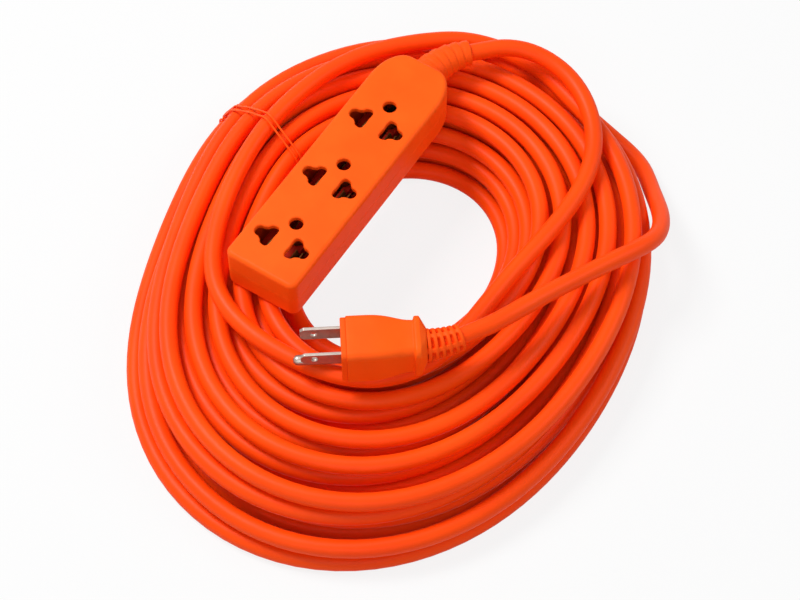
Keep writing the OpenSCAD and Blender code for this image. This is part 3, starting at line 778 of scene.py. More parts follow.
class Growth(Tree):
    """A Geometry Nodes tree with named inputs, grown into a plain mesh."""

    def __init__(
        self, name: str, lengths: dict[str, float], plain: dict[str, float] | None = None
    ) -> None:
        """Start a tree.

        Args:
            name: the tree's name.
            lengths: its inputs in millimetres.
            plain: its inputs that are counts, shares or angles.
        """
        super().__init__(bpy.data.node_groups.new(name, "GeometryNodeTree"))
        self.given: dict[str, float] = {}
        for key, number in {**{k: v * MM for k, v in lengths.items()}, **(plain or {})}.items():
            kind = "NodeSocketInt" if isinstance(number, int) else "NodeSocketFloat"
            made = self.tree.interface.new_socket(key, in_out="INPUT", socket_type=kind)
            self.given[made.identifier] = number
        self.tree.interface.new_socket(
            "Geometry", in_out="OUTPUT", socket_type="NodeSocketGeometry"
        )
        self.group = self.tree.nodes.new("NodeGroupInput")

    def take(self, *names: str) -> list[Value]:
        """Return named inputs."""
        return [Value(self, self.group.outputs[name]) for name in names]

    def turned(self, shape: Value, x: float = 0.0, y: float = 0.0, z: float = 0.0) -> Value:
        """Return a shape turned about each axis by degrees."""
        turn = tuple(math.radians(a) for a in (x, y, z))
        return self.add("GeometryNodeTransform", {"Geometry": shape, "Rotation": turn})

    def grow(self, name: str, parts: Sequence[Value], finish: Finish, place: Matrix) -> Piece:
        """Join, realize and dress the parts, and turn them into one plain mesh.

        Args:
            name: the piece's name.
            parts: geometry.
            finish: what all of it wears.
            place: where the local frame stands, in metres.

        Returns:
            The piece.
        """
        joined = self.add("GeometryNodeJoinGeometry", [list(reversed(parts))])
        real = self.add("GeometryNodeRealizeInstances", [joined])
        sockets = {"Geometry": real, "Material": material_of(finish)}
        self.end("NodeGroupOutput", self.add("GeometryNodeSetMaterial", sockets))
        piece = put(name, bpy.data.meshes.new(name))
        change = modify(piece, "NODES", node_group=self.tree)
        for identifier, number in self.given.items():
            change[identifier] = number
        settle(piece)
        piece.data.transform(place)
        return piece


# ---------------------------------------------------------------- cord


@dataclass(frozen=True)
class CordRoute:
    """Where the cord lies: its coil, the lead to the block and the tail to the plug.

    A ring of lobes has the size, the number and the angle of each. The heights of the lead
    and the tail count from those of a cord that lies on the coil.
    """

    diameter: float = 8.4
    outer_r: float = 135.5
    outer_lobes: tuple[Point3, ...] = ((10.5, 1, -136), (15.5, 2, 14), (3.7, 3, -53.5))
    eye_r: float = 52
    eye_lobes: tuple[Point3, ...] = ((8, 1, 20), (6, 2, 0))
    layer_gap: float = 0.5
    side_gap: float = 0.45
    tie_lift: float = 2.2
    seat_gap: float = 0.24
    lay_gap: float = 0.34
    layer_turns: tuple[float, ...] = (7, 6, 5, 4.5)
    climb: float = 0.5
    start_angle: float = -15
    tie_angle: float = 75
    tie_span: float = 30
    turns: int = 24
    rings: int = 112
    sway: float = 0.3
    sway_rate: float = 0.41
    sway_start: float = 0.35
    nest: float = 0.25
    nudge: float = 0.9
    nudge_turn: float = 7.015
    nudge_span: float = 0.14
    hold: float = 5
    least_step: float = 0.4
    lead: tuple[Point3, ...] = (
        (128, 8, -8.6), (126.3, 21, -7.7), (118.9, 34.1, -3.1), (108, 44.5, 0.6),
        (96.3, 56.5, 1.4), (82, 68.7, 1.3), (63, 77.5, 1.8), (42, 82, 2.2), (20, 84, 2.2),
        (-6, 81, 1.2), (-30, 74.5, 0), (-51, 65, 0), (-67, 52, 0), (-76, 33, 0),
        (-78.5, 11, 0), (-77, -12, 0), (-70, -33, 0), (-55, -48, 0), (-35, -55, 0),
        (-12, -56, 0), (15, -57, 0), (40, -60, 0), (64, -61, 0), (85, -58, 0),
        (102, -50, 0.5), (115, -38, 1.5), (123, -24, 3.2), (125, -10, 5.2), (123, 1.5, 7),
    )
    tail: tuple[Point3, ...] = (
        (-9, -74.5, 15.2), (5, -79, 12.2), (22, -85.5, 8.2), (42, -94, 5.2),
        (57.8, -100.8, 2), (71, -102.5, -5), (84.6, -97.6, -12.4), (96.6, -89.1, -21),
        (107.6, -79.8, -28.3), (118.9, -70.3, -33.2),
    )

    @property
    def low(self) -> float:
        """Height of the lowest loops' middle line; they are pressed flat by a tenth."""
        return self.diameter / 2 - self.diameter / 10

    @property
    def step(self) -> float:
        """Height from one layer to the next."""
        return self.diameter + self.layer_gap

    @property
    def top(self) -> float:
        """Height of the coil away from its tie."""
        return self.low + (len(self.layer_turns) - 1) * self.step + self.diameter / 2

    @property
    def lay(self) -> float:
        """Height of a cord that lies on the coil."""
        return self.top + self.diameter / 2 + self.lay_gap

    def outer(self, a: float) -> float:
        """Return the outermost loop's radius at an angle in degrees."""
        return self.outer_r + sum(size * cosd(n * (a - at)) for size, n, at in self.outer_lobes)

    def inner(self, a: float) -> float:
        """Return the innermost loop's radius at an angle in degrees."""
        return self.eye_r + sum(size * cosd(n * (a - at)) for size, n, at in self.eye_lobes)

    def wind(self, turns: float) -> Point:
        """Return how the coil winds: layer after layer, with a short climb between them.

        Args:
            turns: the turns from the start of the coil.

        Returns:
            The share of the width, and the layer.
        """
        share, way, layer = 1.0, -1 / self.layer_turns[0], 0
        last = len(self.layer_turns) - 1
        while layer < last and turns > self.layer_turns[layer] + self.climb:
            share += way * self.layer_turns[layer]
            turns -= self.layer_turns[layer] + self.climb
            way, layer = -way, layer + 1
        past = turns - self.layer_turns[layer]
        if past <= 0 or layer == last:
            return share + way * turns, layer
        f = past / self.climb
        return share + way * (turns - past * f), layer + f * f * (3 - 2 * f)

    def lift(self, a: float) -> float:
        """Return how far the tie under the loops lifts them at an angle."""
        b = (a - self.tie_angle + 180) % 360 - 180
        return self.tie_lift * cosd(90 / self.tie_span * b) ** 2 if abs(b) < self.tie_span else 0.0

    def nudged(self, t: float) -> float:
        """Return how far the lowest inner loop is pushed against its neighbour after t turns."""
        u = (t - self.nudge_turn) / self.nudge_span
        return self.nudge * cosd(90 * u) ** 2 if abs(u) < 1 else 0.0

    def coil_point(self, t: float) -> np.ndarray:
        """Return the coil's middle line, which sways and nests most away from the tie.

        Args:
            t: the turns from the start of the coil.

        Returns:
            The point, in millimetres.
        """
        a = self.start_angle + 360 * t
        share, layer = self.wind(t)
        width = self.outer(a) - self.inner(a)
        step = width / self.layer_turns[0]
        far = (1 - cosd(a - self.tie_angle)) / 2
        slack = max(0.0, step - self.diameter - self.side_gap)
        sway = self.sway * slack * far * sind(360 * (self.sway_rate * t + self.sway_start))
        nest = self.nest * step * far * -cosd(180 * layer) / 2
        r = self.inner(a) + share * width + sway + nest + self.nudged(t)
        return vec(r * cosd(a), r * sind(a), self.low + layer * self.step + self.lift(a))

    def blend(
        self,
        start: np.ndarray,
        out: np.ndarray,
        middle: Sequence[Point3],
        end: np.ndarray,
        way: np.ndarray,
    ) -> np.ndarray:
        """Return a smooth route through control points, straight at both ends.

        Args:
            start: first point.
            out: direction there.
            middle: control points, with heights over a cord that lies on the coil.
            end: last point.
            way: direction there.

        Returns:
            The points of the route, in millimetres.
        """
        d = self.diameter
        first = [start + k * d * out for k in (-1, 0, 1, 2)]
        laid = [vec(x, y, z + self.lay) for x, y, z in middle]
        last = [end + k * d * way for k in (-2, -1, 0, 1)]
        return np.vstack([Curve.EASED.along([*first, *laid, *last]), end])

    def coil(self) -> tuple[np.ndarray, np.ndarray, np.ndarray]:
        """Wind the coil, with a short straight piece at each end.

        Returns:
            Its line, and its directions at its start and end.
        """
        last, tiny = self.turns, 0.01
        into = unit(self.coil_point(tiny) - self.coil_point(0))
        out = unit(self.coil_point(last) - self.coil_point(last - tiny))
        loops = [self.coil_point(i / self.rings) for i in range(last * self.rings + 1)]
        line = [loops[0] - self.diameter * into, *loops, loops[-1] + self.diameter * out]
        return np.array(line), into, out

    def whole(
        self, exit_at: np.ndarray, exit_way: np.ndarray, plug_at: np.ndarray, plug_way: np.ndarray
    ) -> np.ndarray:
        """Return the whole middle line, from inside the block's relief to inside the plug's.

        Args:
            exit_at: end of the block's relief.
            exit_way: direction out of it.
            plug_at: end of the plug's relief.
            plug_way: direction out of it.

        Returns:
            The points of the line, in millimetres.
        """
        coil, into, out = self.coil()
        lead = self.blend(coil[-1], out, self.lead, exit_at, -exit_way)[::-1]
        tail = self.blend(plug_at, plug_way, self.tail, coil[0], into)[::-1]
        ends = exit_at - self.hold * exit_way, plug_at - self.hold * plug_way
        line = np.vstack([ends[0], lead, coil[::-1], tail, ends[1]])
        kept = [line[0]]
        for point in line[1:]:
            if np.linalg.norm(point - kept[-1]) > self.least_step:
                kept.append(point)
        return np.array(kept)


@dataclass
class Cord:
    """The jacketed cord, one unbroken tube from the block to the plug."""

    route: CordRoute
    exit_at: np.ndarray
    exit_way: np.ndarray
    plug_at: np.ndarray
    plug_way: np.ndarray
    sides: int = 18

    def build(self) -> Piece:
        """Build, dress and place the cord.

        Returns:
            The cord.
        """
        self.line = self.route.whole(self.exit_at, self.exit_way, self.plug_at, self.plug_way)
        piece = tube("cord_jacket", self.line, self.route.diameter, self.sides)
        return dress(piece, Finish.JACKET, "cord_jacket", "cord_lead", "cord_coil", "cord_tail")

    def declare(self) -> None:
        tuple(self.exit_at * MM)
        (self.line * MM).tolist()


@dataclass
class Tie:
    """One thin wire, doubled round the bundle, with its two ends twisted.

    The strands that it touches have their share of the coil's width and their layer.
    """

    route: CordRoute
    diameter: float = 1.0
    pitch: float = 2.8
    gap: float = 0.3
    clear: float = 0.12
    sides: int = 10
    turn: float = 8.26
    twist_r: float = 0.74
    twist_from: Point3 = (120.9, 2.6, 11.5)
    twist_to: Point3 = (119.4, 9.6, 11.2)
    knot: Point3 = (121.8, 0.4, 11.2)
    lowest: Point = (0.9643, 0)
    nearest: Point = (0.25, 0)
    highest: Point = (0.25, 3)
    crossed: Point = (0.6786, 3)
    shoulder: Point = (0.8214, 2)
    lead: Point = (86.2, 2.3)
    bight: Point = (11.6, -9.4)

    def __post_init__(self) -> None:
        """Work out the directions across and along the loops at the tie."""
        a = self.route.tie_angle
        self.out = vec(cosd(a), sind(a), 0)
        run = self.route.coil_point(self.turn - 0.01) - self.route.coil_point(self.turn)
        self.run = unit(vec(run[0], run[1], 0))

    def at(self, r: float, run: float, z: float) -> np.ndarray:
        """Return a point from its distances out, along the loops and up."""
        return r * self.out + run * self.run + vec(0, 0, z)

    def strand(self, place: Point) -> Point:
        """Find the middle of a strand of the bundle, at the tie.

        Args:
            place: its share of the coil's width and its layer.

        Returns:
            Its distance out and its height.
        """
        a, c = self.route.tie_angle, self.route
        r = c.inner(a) + place[0] * (c.outer(a) - c.inner(a))
        return r, c.low + place[1] * c.step + c.tie_lift

    @staticmethod
    def off(centre: Point, distance: float, *angles: float) -> list[Point]:
        """Return the points at a distance and some angles from a centre."""
        return [(centre[0] + distance * cosd(a), centre[1] + distance * sind(a)) for a in angles]

    def ring(self) -> list[Point]:
        """Lay the tie round the bundle: down, under, up between two columns and over.

        Returns:
            Its distances out and its heights.
        """
        c, d = self.route, self.diameter
        off = c.diameter / 2 + self.gap + d / 2
        low, out, top = (self.strand(s) for s in (self.nearest, self.lowest, self.highest))
        lead = (self.lead[0], c.lay + self.lead[1])
        back = low[0] - off
        return [
            *self.off(out, off, 62, 41, 20, -10, -38, -64),
            *[(r, d / 2 + self.clear) for r in (out[0], 110, 96, 82, low[0])],
            *self.off(low, off + 0.2, -112, -130, -150, -170),
            (back - 0.2, low[1] + 1), (back, 21.5), (back + 0.4, 27), (back + 0.4, top[1] - 1),
            *self.off(top, off, 165, 142, 119),
            *self.off(lead, off, 118, 96, 75, 55),
            *self.off(self.strand(self.crossed), off, 52),
            *self.off(self.strand(self.shoulder), off, 45, 27),
        ]

    def twist(self, half: int, steps: int = 8) -> list[np.ndarray]:
        """Return one of the two twisted ends.

        Args:
            half: 0 or 1, for the side of the other end that it starts on.
            steps: its steps, each a sixth of a turn.

        Returns:
            Its points, from the bundle outwards.
        """
        start, end = self.at(*self.twist_from), self.at(*self.twist_to)
        axis = unit(end - start)
        up = unit(vec(0, 0, 1) - axis[2] * axis)
        side = np.cross(axis, up)
        angles = [60 * i + 180 * half for i in range(steps + 1)]
        return [
            start + (end - start) * i / steps
            + self.twist_r * self.diameter * (cosd(a) * up + sind(a) * side)
            for i, a in enumerate(angles)
        ]

    def build(self) -> Piece:
        """Build, dress and place the tie.

        Returns:
            The tie.
        """
        ring, half = self.ring(), self.pitch / 2
        s = self.strand(self.shoulder)
        r, z = s[0] + self.bight[0], s[1] + self.bight[1]
        points = [
            *self.twist(1)[::-1],
            self.at(*self.knot),
            *[self.at(out, -half, up) for out, up in ring],
            *[self.at(r + 0.5 * cosd(a), half * sind(a), z - 1.6 * cosd(a)) for a in (-50, 0, 50)],
            *[self.at(out, half, up) for out, up in ring[::-1]],
            *self.twist(0),
        ]
        piece = tube("cord_tie_wire", self.rounded(points), self.diameter, self.sides)
        return dress(piece, Finish.TIE, "cord_jacket", "cord_tie")

    @staticmethod
    def rounded(points: Sequence[np.ndarray], share: float = 0.25) -> np.ndarray:
        """Return the points with each corner drawn into a short arc.

        Args:
            points: the corners.
            share: the share of each side that its arc takes at either end.

        Returns:
            The points of the rounded line.
        """
        line = [points[0]]
        for before, at, after in zip(points[:-2], points[1:-1], points[2:]):
            a, b = at + share * (before - at), at + share * (after - at)
            line += [a, 0.25 * a + 0.5 * at + 0.25 * b, b]
        return np.array([*line, points[-1]])


# ---------------------------------------------------------------- ribbed reliefs


@dataclass(frozen=True)
class Relief:
    """A bent strain relief: tapered ribs round a core, joined by a web on each side.

    It starts at its local origin along +X and bends towards -Y. A gap is a share of the
    pitch of the ribs.
    """

    name: str
    node: str
    bend_r: float
    bend: float
    root_r: float
    tip_r: float
    ribs: int = 6
    gap: float = 0.4
    core_r: float = 4.5
    depth: float = 2.1
    web_drop: float = 0.4
    web_t: float = 2.0
    web_turn: float = 35
    rows: int = 3
    overlap: float = 0.2
    neck_r: float = 0.0
    neck_l: float = 0.0
    neck_grip: float = 1.5
    voxel: float = 0.26
    passes: int = 3
    core_steps: int = 39

    def build(self, place: Matrix) -> Piece:
        """Grow the ribs, core and webs, and fuse them into one skin with soft inner corners.

        Args:
            place: where the relief starts.

        Returns:
            The piece.
        """
        g = Growth(
            self.name + "_tree",
            {
                "Bend Radius": self.bend_r, "Root Radius": self.root_r, "Tip Radius": self.tip_r,
                "Core Radius": self.core_r, "Web Drop": self.web_drop,
                "Web Thickness": self.web_t, "Depth": self.depth,
            },
            {"Ribs": self.ribs, "Gap": self.gap, "Bend": math.radians(self.bend)},
        )
        ribs, gap, bend, radius = g.take("Ribs", "Gap", "Bend", "Bend Radius")
        root, tip, core, depth = g.take("Root Radius", "Tip Radius", "Core Radius", "Depth")
        web_drop, web_t = g.take("Web Drop", "Web Thickness")
        number = g.add("GeometryNodeInputIndex")
        pitch = bend / (ribs - gap)
        taper = (tip - root) / (ribs - 1.0)

        def on_arc(angle: Value, count: Value | int) -> Value:
            """Set points along the bend.

            Args:
                angle: the angle of each.
                count: how many there are.

            Returns:
                The points.
            """
            line = g.add("GeometryNodeMeshLine", {"Count": count})
            spot = g.vector(angle.sin() * radius, (angle.cos() - 1.0) * radius, 0.0)
            return g.add("GeometryNodeSetPosition", {0: line, "Position": spot})

        def spread(shape: Value, angle: Value, count: Value, size: Value, roll: float = 0) -> Value:
            """Set copies of a shape along the bend, turned with it.

            Args:
                shape: the shape.
                angle: the angle of each copy along the bend.
                count: how many there are.
                size: their scale.
                roll: their turn about the relief, in degrees.

            Returns:
                The copies.
            """
            euler = g.vector(math.radians(roll), 0.0, angle * -1.0)
            turn = g.add("FunctionNodeEulerToRotation", [euler])
            spots = on_arc(angle, count)
            sockets = {"Points": spots, "Instance": shape, "Rotation": turn, "Scale": size}
            return g.add("GeometryNodeInstanceOnPoints", sockets)

        rib_at, gap_at = (number + (1.0 - gap) * 0.5) * pitch, (number + 1.0 - gap * 0.5) * pitch
        rib_r, gap_r = taper * number + root, taper * (number + 0.5) + root
        rib_w, web_w = (1.0 - gap) * pitch * radius, (gap + self.overlap) * pitch * radius
        parts = [spread(self.rib(g), rib_at, ribs, g.vector(rib_w, rib_r, rib_r))]
        bar = g.add("GeometryNodeMeshCube", {"Size": (1.0, 1.0, 1.0)})
        bar_size = g.vector(web_w, (gap_r - web_drop) * 2.0, web_t)
        for row in range(self.rows):
            roll = self.web_turn + 180 * row / self.rows
            parts.append(spread(bar, gap_at, ribs - 1.0, bar_size, roll))
        sockets = {"Vertices": ROUND, "Radius": 1.0, "Depth": 1.0}
        disc = g.add("GeometryNodeMeshCylinder", sockets, fill_type="NGON")
        disc_size = g.vector(web_w, gap_r - depth, gap_r - depth)
        parts.append(spread(g.turned(disc, y=90), gap_at, ribs - 1.0, disc_size))
        arc = on_arc(bend * number / float(self.core_steps), self.core_steps + 1)
        line = g.add("GeometryNodeMeshToCurve", [arc])
        sockets = {"Resolution": self.core_steps + 1, "Radius": core}
        section = g.add("GeometryNodeCurvePrimitiveCircle", sockets)
        sockets = {0: line, 1: section, "Fill Caps": True}
        parts.append(g.add("GeometryNodeCurveToMesh", sockets))
        piece = g.grow(self.name, parts, Finish.RELIEF, HERE)
        if self.neck_l:
            length = self.neck_l + self.neck_grip
            outward(piece, cylinder((-self.neck_l, 0, 0), (1, 0, 0), self.neck_r, length))
        modify(piece, "REMESH", voxel_size=self.voxel * MM)
        modify(piece, "SMOOTH", iterations=self.passes)
        settle(piece)
        piece.data.shade_smooth()
        piece.data.transform(place)
        outward(piece)
        return dress(piece, Finish.RELIEF, "orange_pvc", self.node)

    @staticmethod
    def rib(g: Growth, width: float = 0.7, corner: float = 0.1) -> Value:
        """Return one rib of unit width and radius about X, with rounded shoulders.

        Args:
            g: the tree it is added to.
            width: width of its section before it is stretched.
            corner: radius of the section's corners.

        Returns:
            The rib.
        """
        sockets: dict[str, Any] = {"Resolution": 64, "Radius": 1 - width / 2}
        ring = g.add("GeometryNodeCurvePrimitiveCircle", sockets)
        sockets = {"Width": width, "Height": width}
        square = g.add("GeometryNodeCurvePrimitiveQuadrilateral", sockets)
        sockets = {"Curve": square, "Radius": corner, "Count": 4}
        section = g.add("GeometryNodeFilletCurve", sockets, mode="POLY")
        swept = g.add("GeometryNodeCurveToMesh", [ring, section])
        upright = {"Rotation": (0.0, math.pi / 2, 0.0), "Scale": (1.0, 1.0, 1 / width)}
        return g.add("GeometryNodeTransform", {"Geometry": swept, **upright})


# ---------------------------------------------------------------- outlet block


@dataclass
class OutletBlock:
    """The three-outlet block: base, cover with its slots, relief and cover screws.

    Its local frame has x along the block, y = 0 on its centre line and z = 0 underneath.
    """

    at: Point3
    width: float = 38
    height: float = 24
    free_len: float = 57.5
    straight: float = 63
    shoulder: float = 19
    mouth_w: float = 15
    corner_r: float = 4
    edge_r: float = 2.2
    seam: float = 12
    wall: float = 2.4
    floor_t: float = 2.2
    face_t: float = 2.5
    pitch: float = 39
    blade_pitch: float = 12.7
    ground_offset: float = 11.9
    ground_d: float = 6.5
    slot_l: float = 11.2
    slot_w: float = 3.7
    arm_tip: float = 2.7
    arm_y: float = 11.5
    neck_r: float = 6.2
    neck_l: float = 5.9
    post_r: float = 3.6
    post_y: float = 12.4
    post_inset: float = 0.6
    bore_r: float = 3.0
    head_r: float = 2.7
    head_h: float = 1.7
    shank_r: float = 1.4
    shank_l: float = 16.3
    head_taper: float = 0.86
    cross_l: float = 3.4
    cross_w: float = 0.75
    cross_d: float = 2
    line: float = 0.14
    lead_in: float = 0.5
    clear: float = 0.1
    past: float = 1
    post_gap: float = 2

    @property
    def place(self) -> Matrix:
        """Where the block's own frame stands."""
        return moved(*self.at)

    @property
    def mouth(self) -> float:
        """Where the cord end of the block is, along x."""
        return self.straight + self.shoulder

    @property
    def relief(self) -> Relief:
        """The strain relief at the block's cord end."""
        return Relief(
            "block_strain_relief", "block_relief", 34, 45, 8.8, 6.2, gap=0.28, depth=0.45,
            neck_r=self.neck_r, neck_l=self.neck_l,
        )

    def cord_exit(self) -> tuple[np.ndarray, np.ndarray]:
        """Find where the cord leaves the relief, in the frame of the whole.

        Returns:
            The end of the relief, and the direction out of it.
        """
        r, a = self.relief.bend_r, self.relief.bend
        local = vec(self.mouth + r * sind(a), -r * (1 - cosd(a)), self.seam)
        return np.array(self.at) + local, vec(cosd(a), -sind(a), 0)

    def level(self, inset: float, z: float) -> list[Point3]:
        """Return the block's outline at a height.

        Args:
            inset: how far it is drawn in.
            z: the height.

        Returns:
            The outline, anticlockwise seen from above.
        """
        r, hw, x0 = self.corner_r - inset, self.width / 2 - inset, -self.free_len + inset
        hm, ex = self.mouth_w / 2, self.shoulder - inset
        near = [180 + 90 * i / 8 for i in range(9)]
        side = [(ex * sind(90 * i / 14), hm + (hw - hm) * cosd(90 * i / 14)) for i in range(15)]
        plan = [(x0 + r + r * cosd(a), -hw + r + r * sind(a)) for a in near]
        plan += [(self.straight + x, -y) for x, y in side]
        plan += [(self.straight + x, y) for x, y in side[::-1]]
        plan += [(x0 + r + r * cosd(a - 90), hw - r + r * sind(a - 90)) for a in near]
        return raised(plan, z)

    def rounding(self, steps: int = 6) -> list[Point]:
        """Return the inset and the distance from the face over an edge's rounding."""
        turns = [90 * i / steps for i in range(steps + 1)]
        return [(self.edge_r * (1 - sind(a)), self.edge_r * (1 - cosd(a))) for a in turns]

    def rod(self, x: float, y: float, z: float, radius: float, length: float) -> Piece:
        """Return an upright cylinder on a point of the block's own frame."""
        return cylinder(np.array(self.at) + vec(x, y, z), (0, 0, 1), radius, length)

    def mouth_cutter(self) -> Piece:
        """Return the cutter of the round hole that the relief's neck passes through."""
        at = np.array(self.at) + vec(self.mouth - self.wall - self.past, 0, self.seam)
        return cylinder(at, (1, 0, 0), self.neck_r + self.clear, self.wall + 2 * self.past)

    def posts(self) -> list[Point]:
        """Return where the four screw posts stand."""
        near = -self.free_len + self.wall + self.post_r - self.post_inset
        return [(x, s * self.post_y) for x in (near, self.straight - self.post_r) for s in (-1, 1)]

    def base(self) -> Piece:
        """Build the lower shell, with its posts and the screws' counterbores.

        Returns:
            The shell.
        """
        rings = [self.level(i, z) for i, z in self.rounding()]
        rings += [self.level(0, self.seam - self.line), self.level(self.line, self.seam)]
        rings += [self.level(self.wall, z) for z in (self.seam, self.floor_t)]
        piece = loft("block_lower_shell", rings, self.place)
        past, post_l = self.past, self.seam - self.past - self.post_gap
        holes = [self.rod(x, y, -past, self.bore_r, self.floor_t + past) for x, y in self.posts()]
        posts = [self.rod(x, y, past, self.post_r, post_l) for x, y in self.posts()]
        Shape.ADD.apply(piece, posts)
        Shape.CUT.apply(piece, [*holes, self.mouth_cutter()])
        return self.shell(piece, "block_base")

    def cover(self) -> Piece:
        """Build the upper shell, with its slots and ground holes.

        Returns:
            The shell.
        """
        rings = [self.level(self.wall, z) for z in (self.height - self.face_t, self.seam)]
        rings += [self.level(self.line, self.seam), self.level(0, self.seam + self.line)]
        rings += [self.level(i, self.height - z) for i, z in self.rounding()[::-1]]
        piece = loft("block_upper_shell", rings, self.place)
        hole = circle(self.ground_d / 2)
        slots, grounds = [], []
        for x in (-self.pitch, 0, self.pitch):
            grounds.append(self.opening([(x + self.ground_offset + px, py) for px, py in hole]))
            for side in (-1, 1):
                slot = [(x + px, side * py) for px, py in self.slot_outline()]
                slots.append(self.opening(slot[::side]))
        Shape.CUT.apply(piece, [self.mouth_cutter()])
        Shape.CUT.apply(piece, slots)
        Shape.CUT.apply(piece, grounds)
        return self.shell(piece, "block_cover")

    def opening(self, outline: Sequence[Point]) -> Piece:
        """Make the cutter of one opening in the face, with its lead-in chamfer.

        Args:
            outline: the opening's outline, anticlockwise seen from above.

        Returns:
            The cutter.
        """
        top, c, past = self.height, self.lead_in, self.past
        ring = np.array(outline)
        along = np.roll(ring, -1, axis=0) - np.roll(ring, 1, axis=0)
        out = np.stack([along[:, 1], -along[:, 0]], -1)
        out /= np.linalg.norm(out, axis=1)[:, None]
        levels = [(top - self.face_t - past, 0), (top - c, 0), (top, c), (top + past, c + past)]
        return loft("opening", [raised(ring + grow * out, z) for z, grow in levels], self.place)

    def slot_outline(self) -> list[Point]:
        """Draw a slot for a straight or a crossed blade, with round lobes.

        Returns:
            Its outline, anticlockwise seen from above.
        """
        a, b, w = self.slot_l / 2, self.blade_pitch / 2, self.slot_w / 2
        t, end = self.arm_tip, self.arm_y + self.arm_tip
        half = [
            (0.5 * a, b - 1.1 * w), (0.85 * a, b - 0.95 * w), (1.02 * a, b - 0.35 * w),
            (a, b + 0.5 * w), (0.9 * a, b + 1.15 * w), (0.7 * a, b + 1.55 * w),
            (1.2 * t, b + 2.1 * w), (1.06 * t, end - 1.2 * t), (0.97 * t, end - 0.6 * t),
            (0.57 * t, end - 0.12 * t),
        ]
        loop = [(0.0, b - w), *half, (0.0, end), *[(-x, y) for x, y in half[::-1]]]
        return Curve.THROUGH.along([loop[-1], *loop, *loop[:2]]).tolist()

    def shell(self, piece: Piece, node: str) -> Piece:
        """Soften, paint and place one of the shells.

        Args:
            piece: the shell.
            node: the node that it stands for.

        Returns:
            The shell.
        """
        outward(piece)
        soften(piece, width=0.28, segments=2, angle=35)
        return dress(piece, Finish.SHELL, "orange_pvc", node)

    def screws(self) -> Piece:
        """Grow the four cover screws, each with a cross recess.

        Returns:
            The screws, as one piece.
        """
        (x0, _), *_, (x1, _) = self.posts()
        g = Growth("cover_screw_tree", {
            "Head Radius": self.head_r, "Head Height": self.head_h,
            "Shank Radius": self.shank_r, "Shank Length": self.shank_l,
            "Spacing X": x1 - x0, "Spacing Y": 2 * self.post_y,
        })
        head_r, head_h, shank_r, shank_l = g.take(
            "Head Radius", "Head Height", "Shank Radius", "Shank Length"
        )
        under_r = head_r * self.head_taper
        sockets = {
            "Vertices": 40, "Radius Top": head_r, "Radius Bottom": under_r, "Depth": head_h
        }
        head = g.add("GeometryNodeMeshCone", sockets, fill_type="NGON")
        size = (self.cross_l * MM, self.cross_w * MM, self.cross_d * MM)
        bars = [g.add("GeometryNodeMeshCube", {"Size": size}) for _ in range(2)]
        cross = [g.turned(bar, z=turn) for bar, turn in zip(bars, (0, 90))]
        sockets = {"Mesh 1": head, "Mesh 2": cross}
        head = g.add("GeometryNodeMeshBoolean", sockets, operation="DIFFERENCE")
        sockets = {"Vertices": 24, "Radius": shank_r, "Depth": shank_l}
        shank = g.add("GeometryNodeMeshCylinder", sockets, fill_type="NGON")
        up = g.vector(0.0, 0.0, (head_h + shank_l) * 0.5)
        shank = g.add("GeometryNodeTransform", {"Geometry": shank, "Translation": up})
        screw = g.add("GeometryNodeJoinGeometry", [[shank, head]])
        wide, deep = g.take("Spacing X", "Spacing Y")
        sockets = {"Size X": wide, "Size Y": deep, "Vertices X": 2, "Vertices Y": 2}
        grid = g.add("GeometryNodeMeshGrid", sockets)
        four = g.add("GeometryNodeInstanceOnPoints", {"Points": grid, "Instance": screw})
        middle = self.place @ moved((x0 + x1) / 2, 0, self.floor_t - self.head_h / 2)
        piece = g.grow("cover_screw_set", [four], Finish.STEEL, middle)
        soften(piece, width=0.12, segments=1, angle=40)
        return dress(piece, Finish.STEEL, "screw_steel", "cover_screws")

    def build(self) -> list[Piece]:
        """Build the whole block and return its pieces."""
        start = self.place @ moved(self.mouth, 0, self.seam)
        return [self.base(), self.cover(), self.screws(), self.relief.build(start)]


# ---------------------------------------------------------------- plug


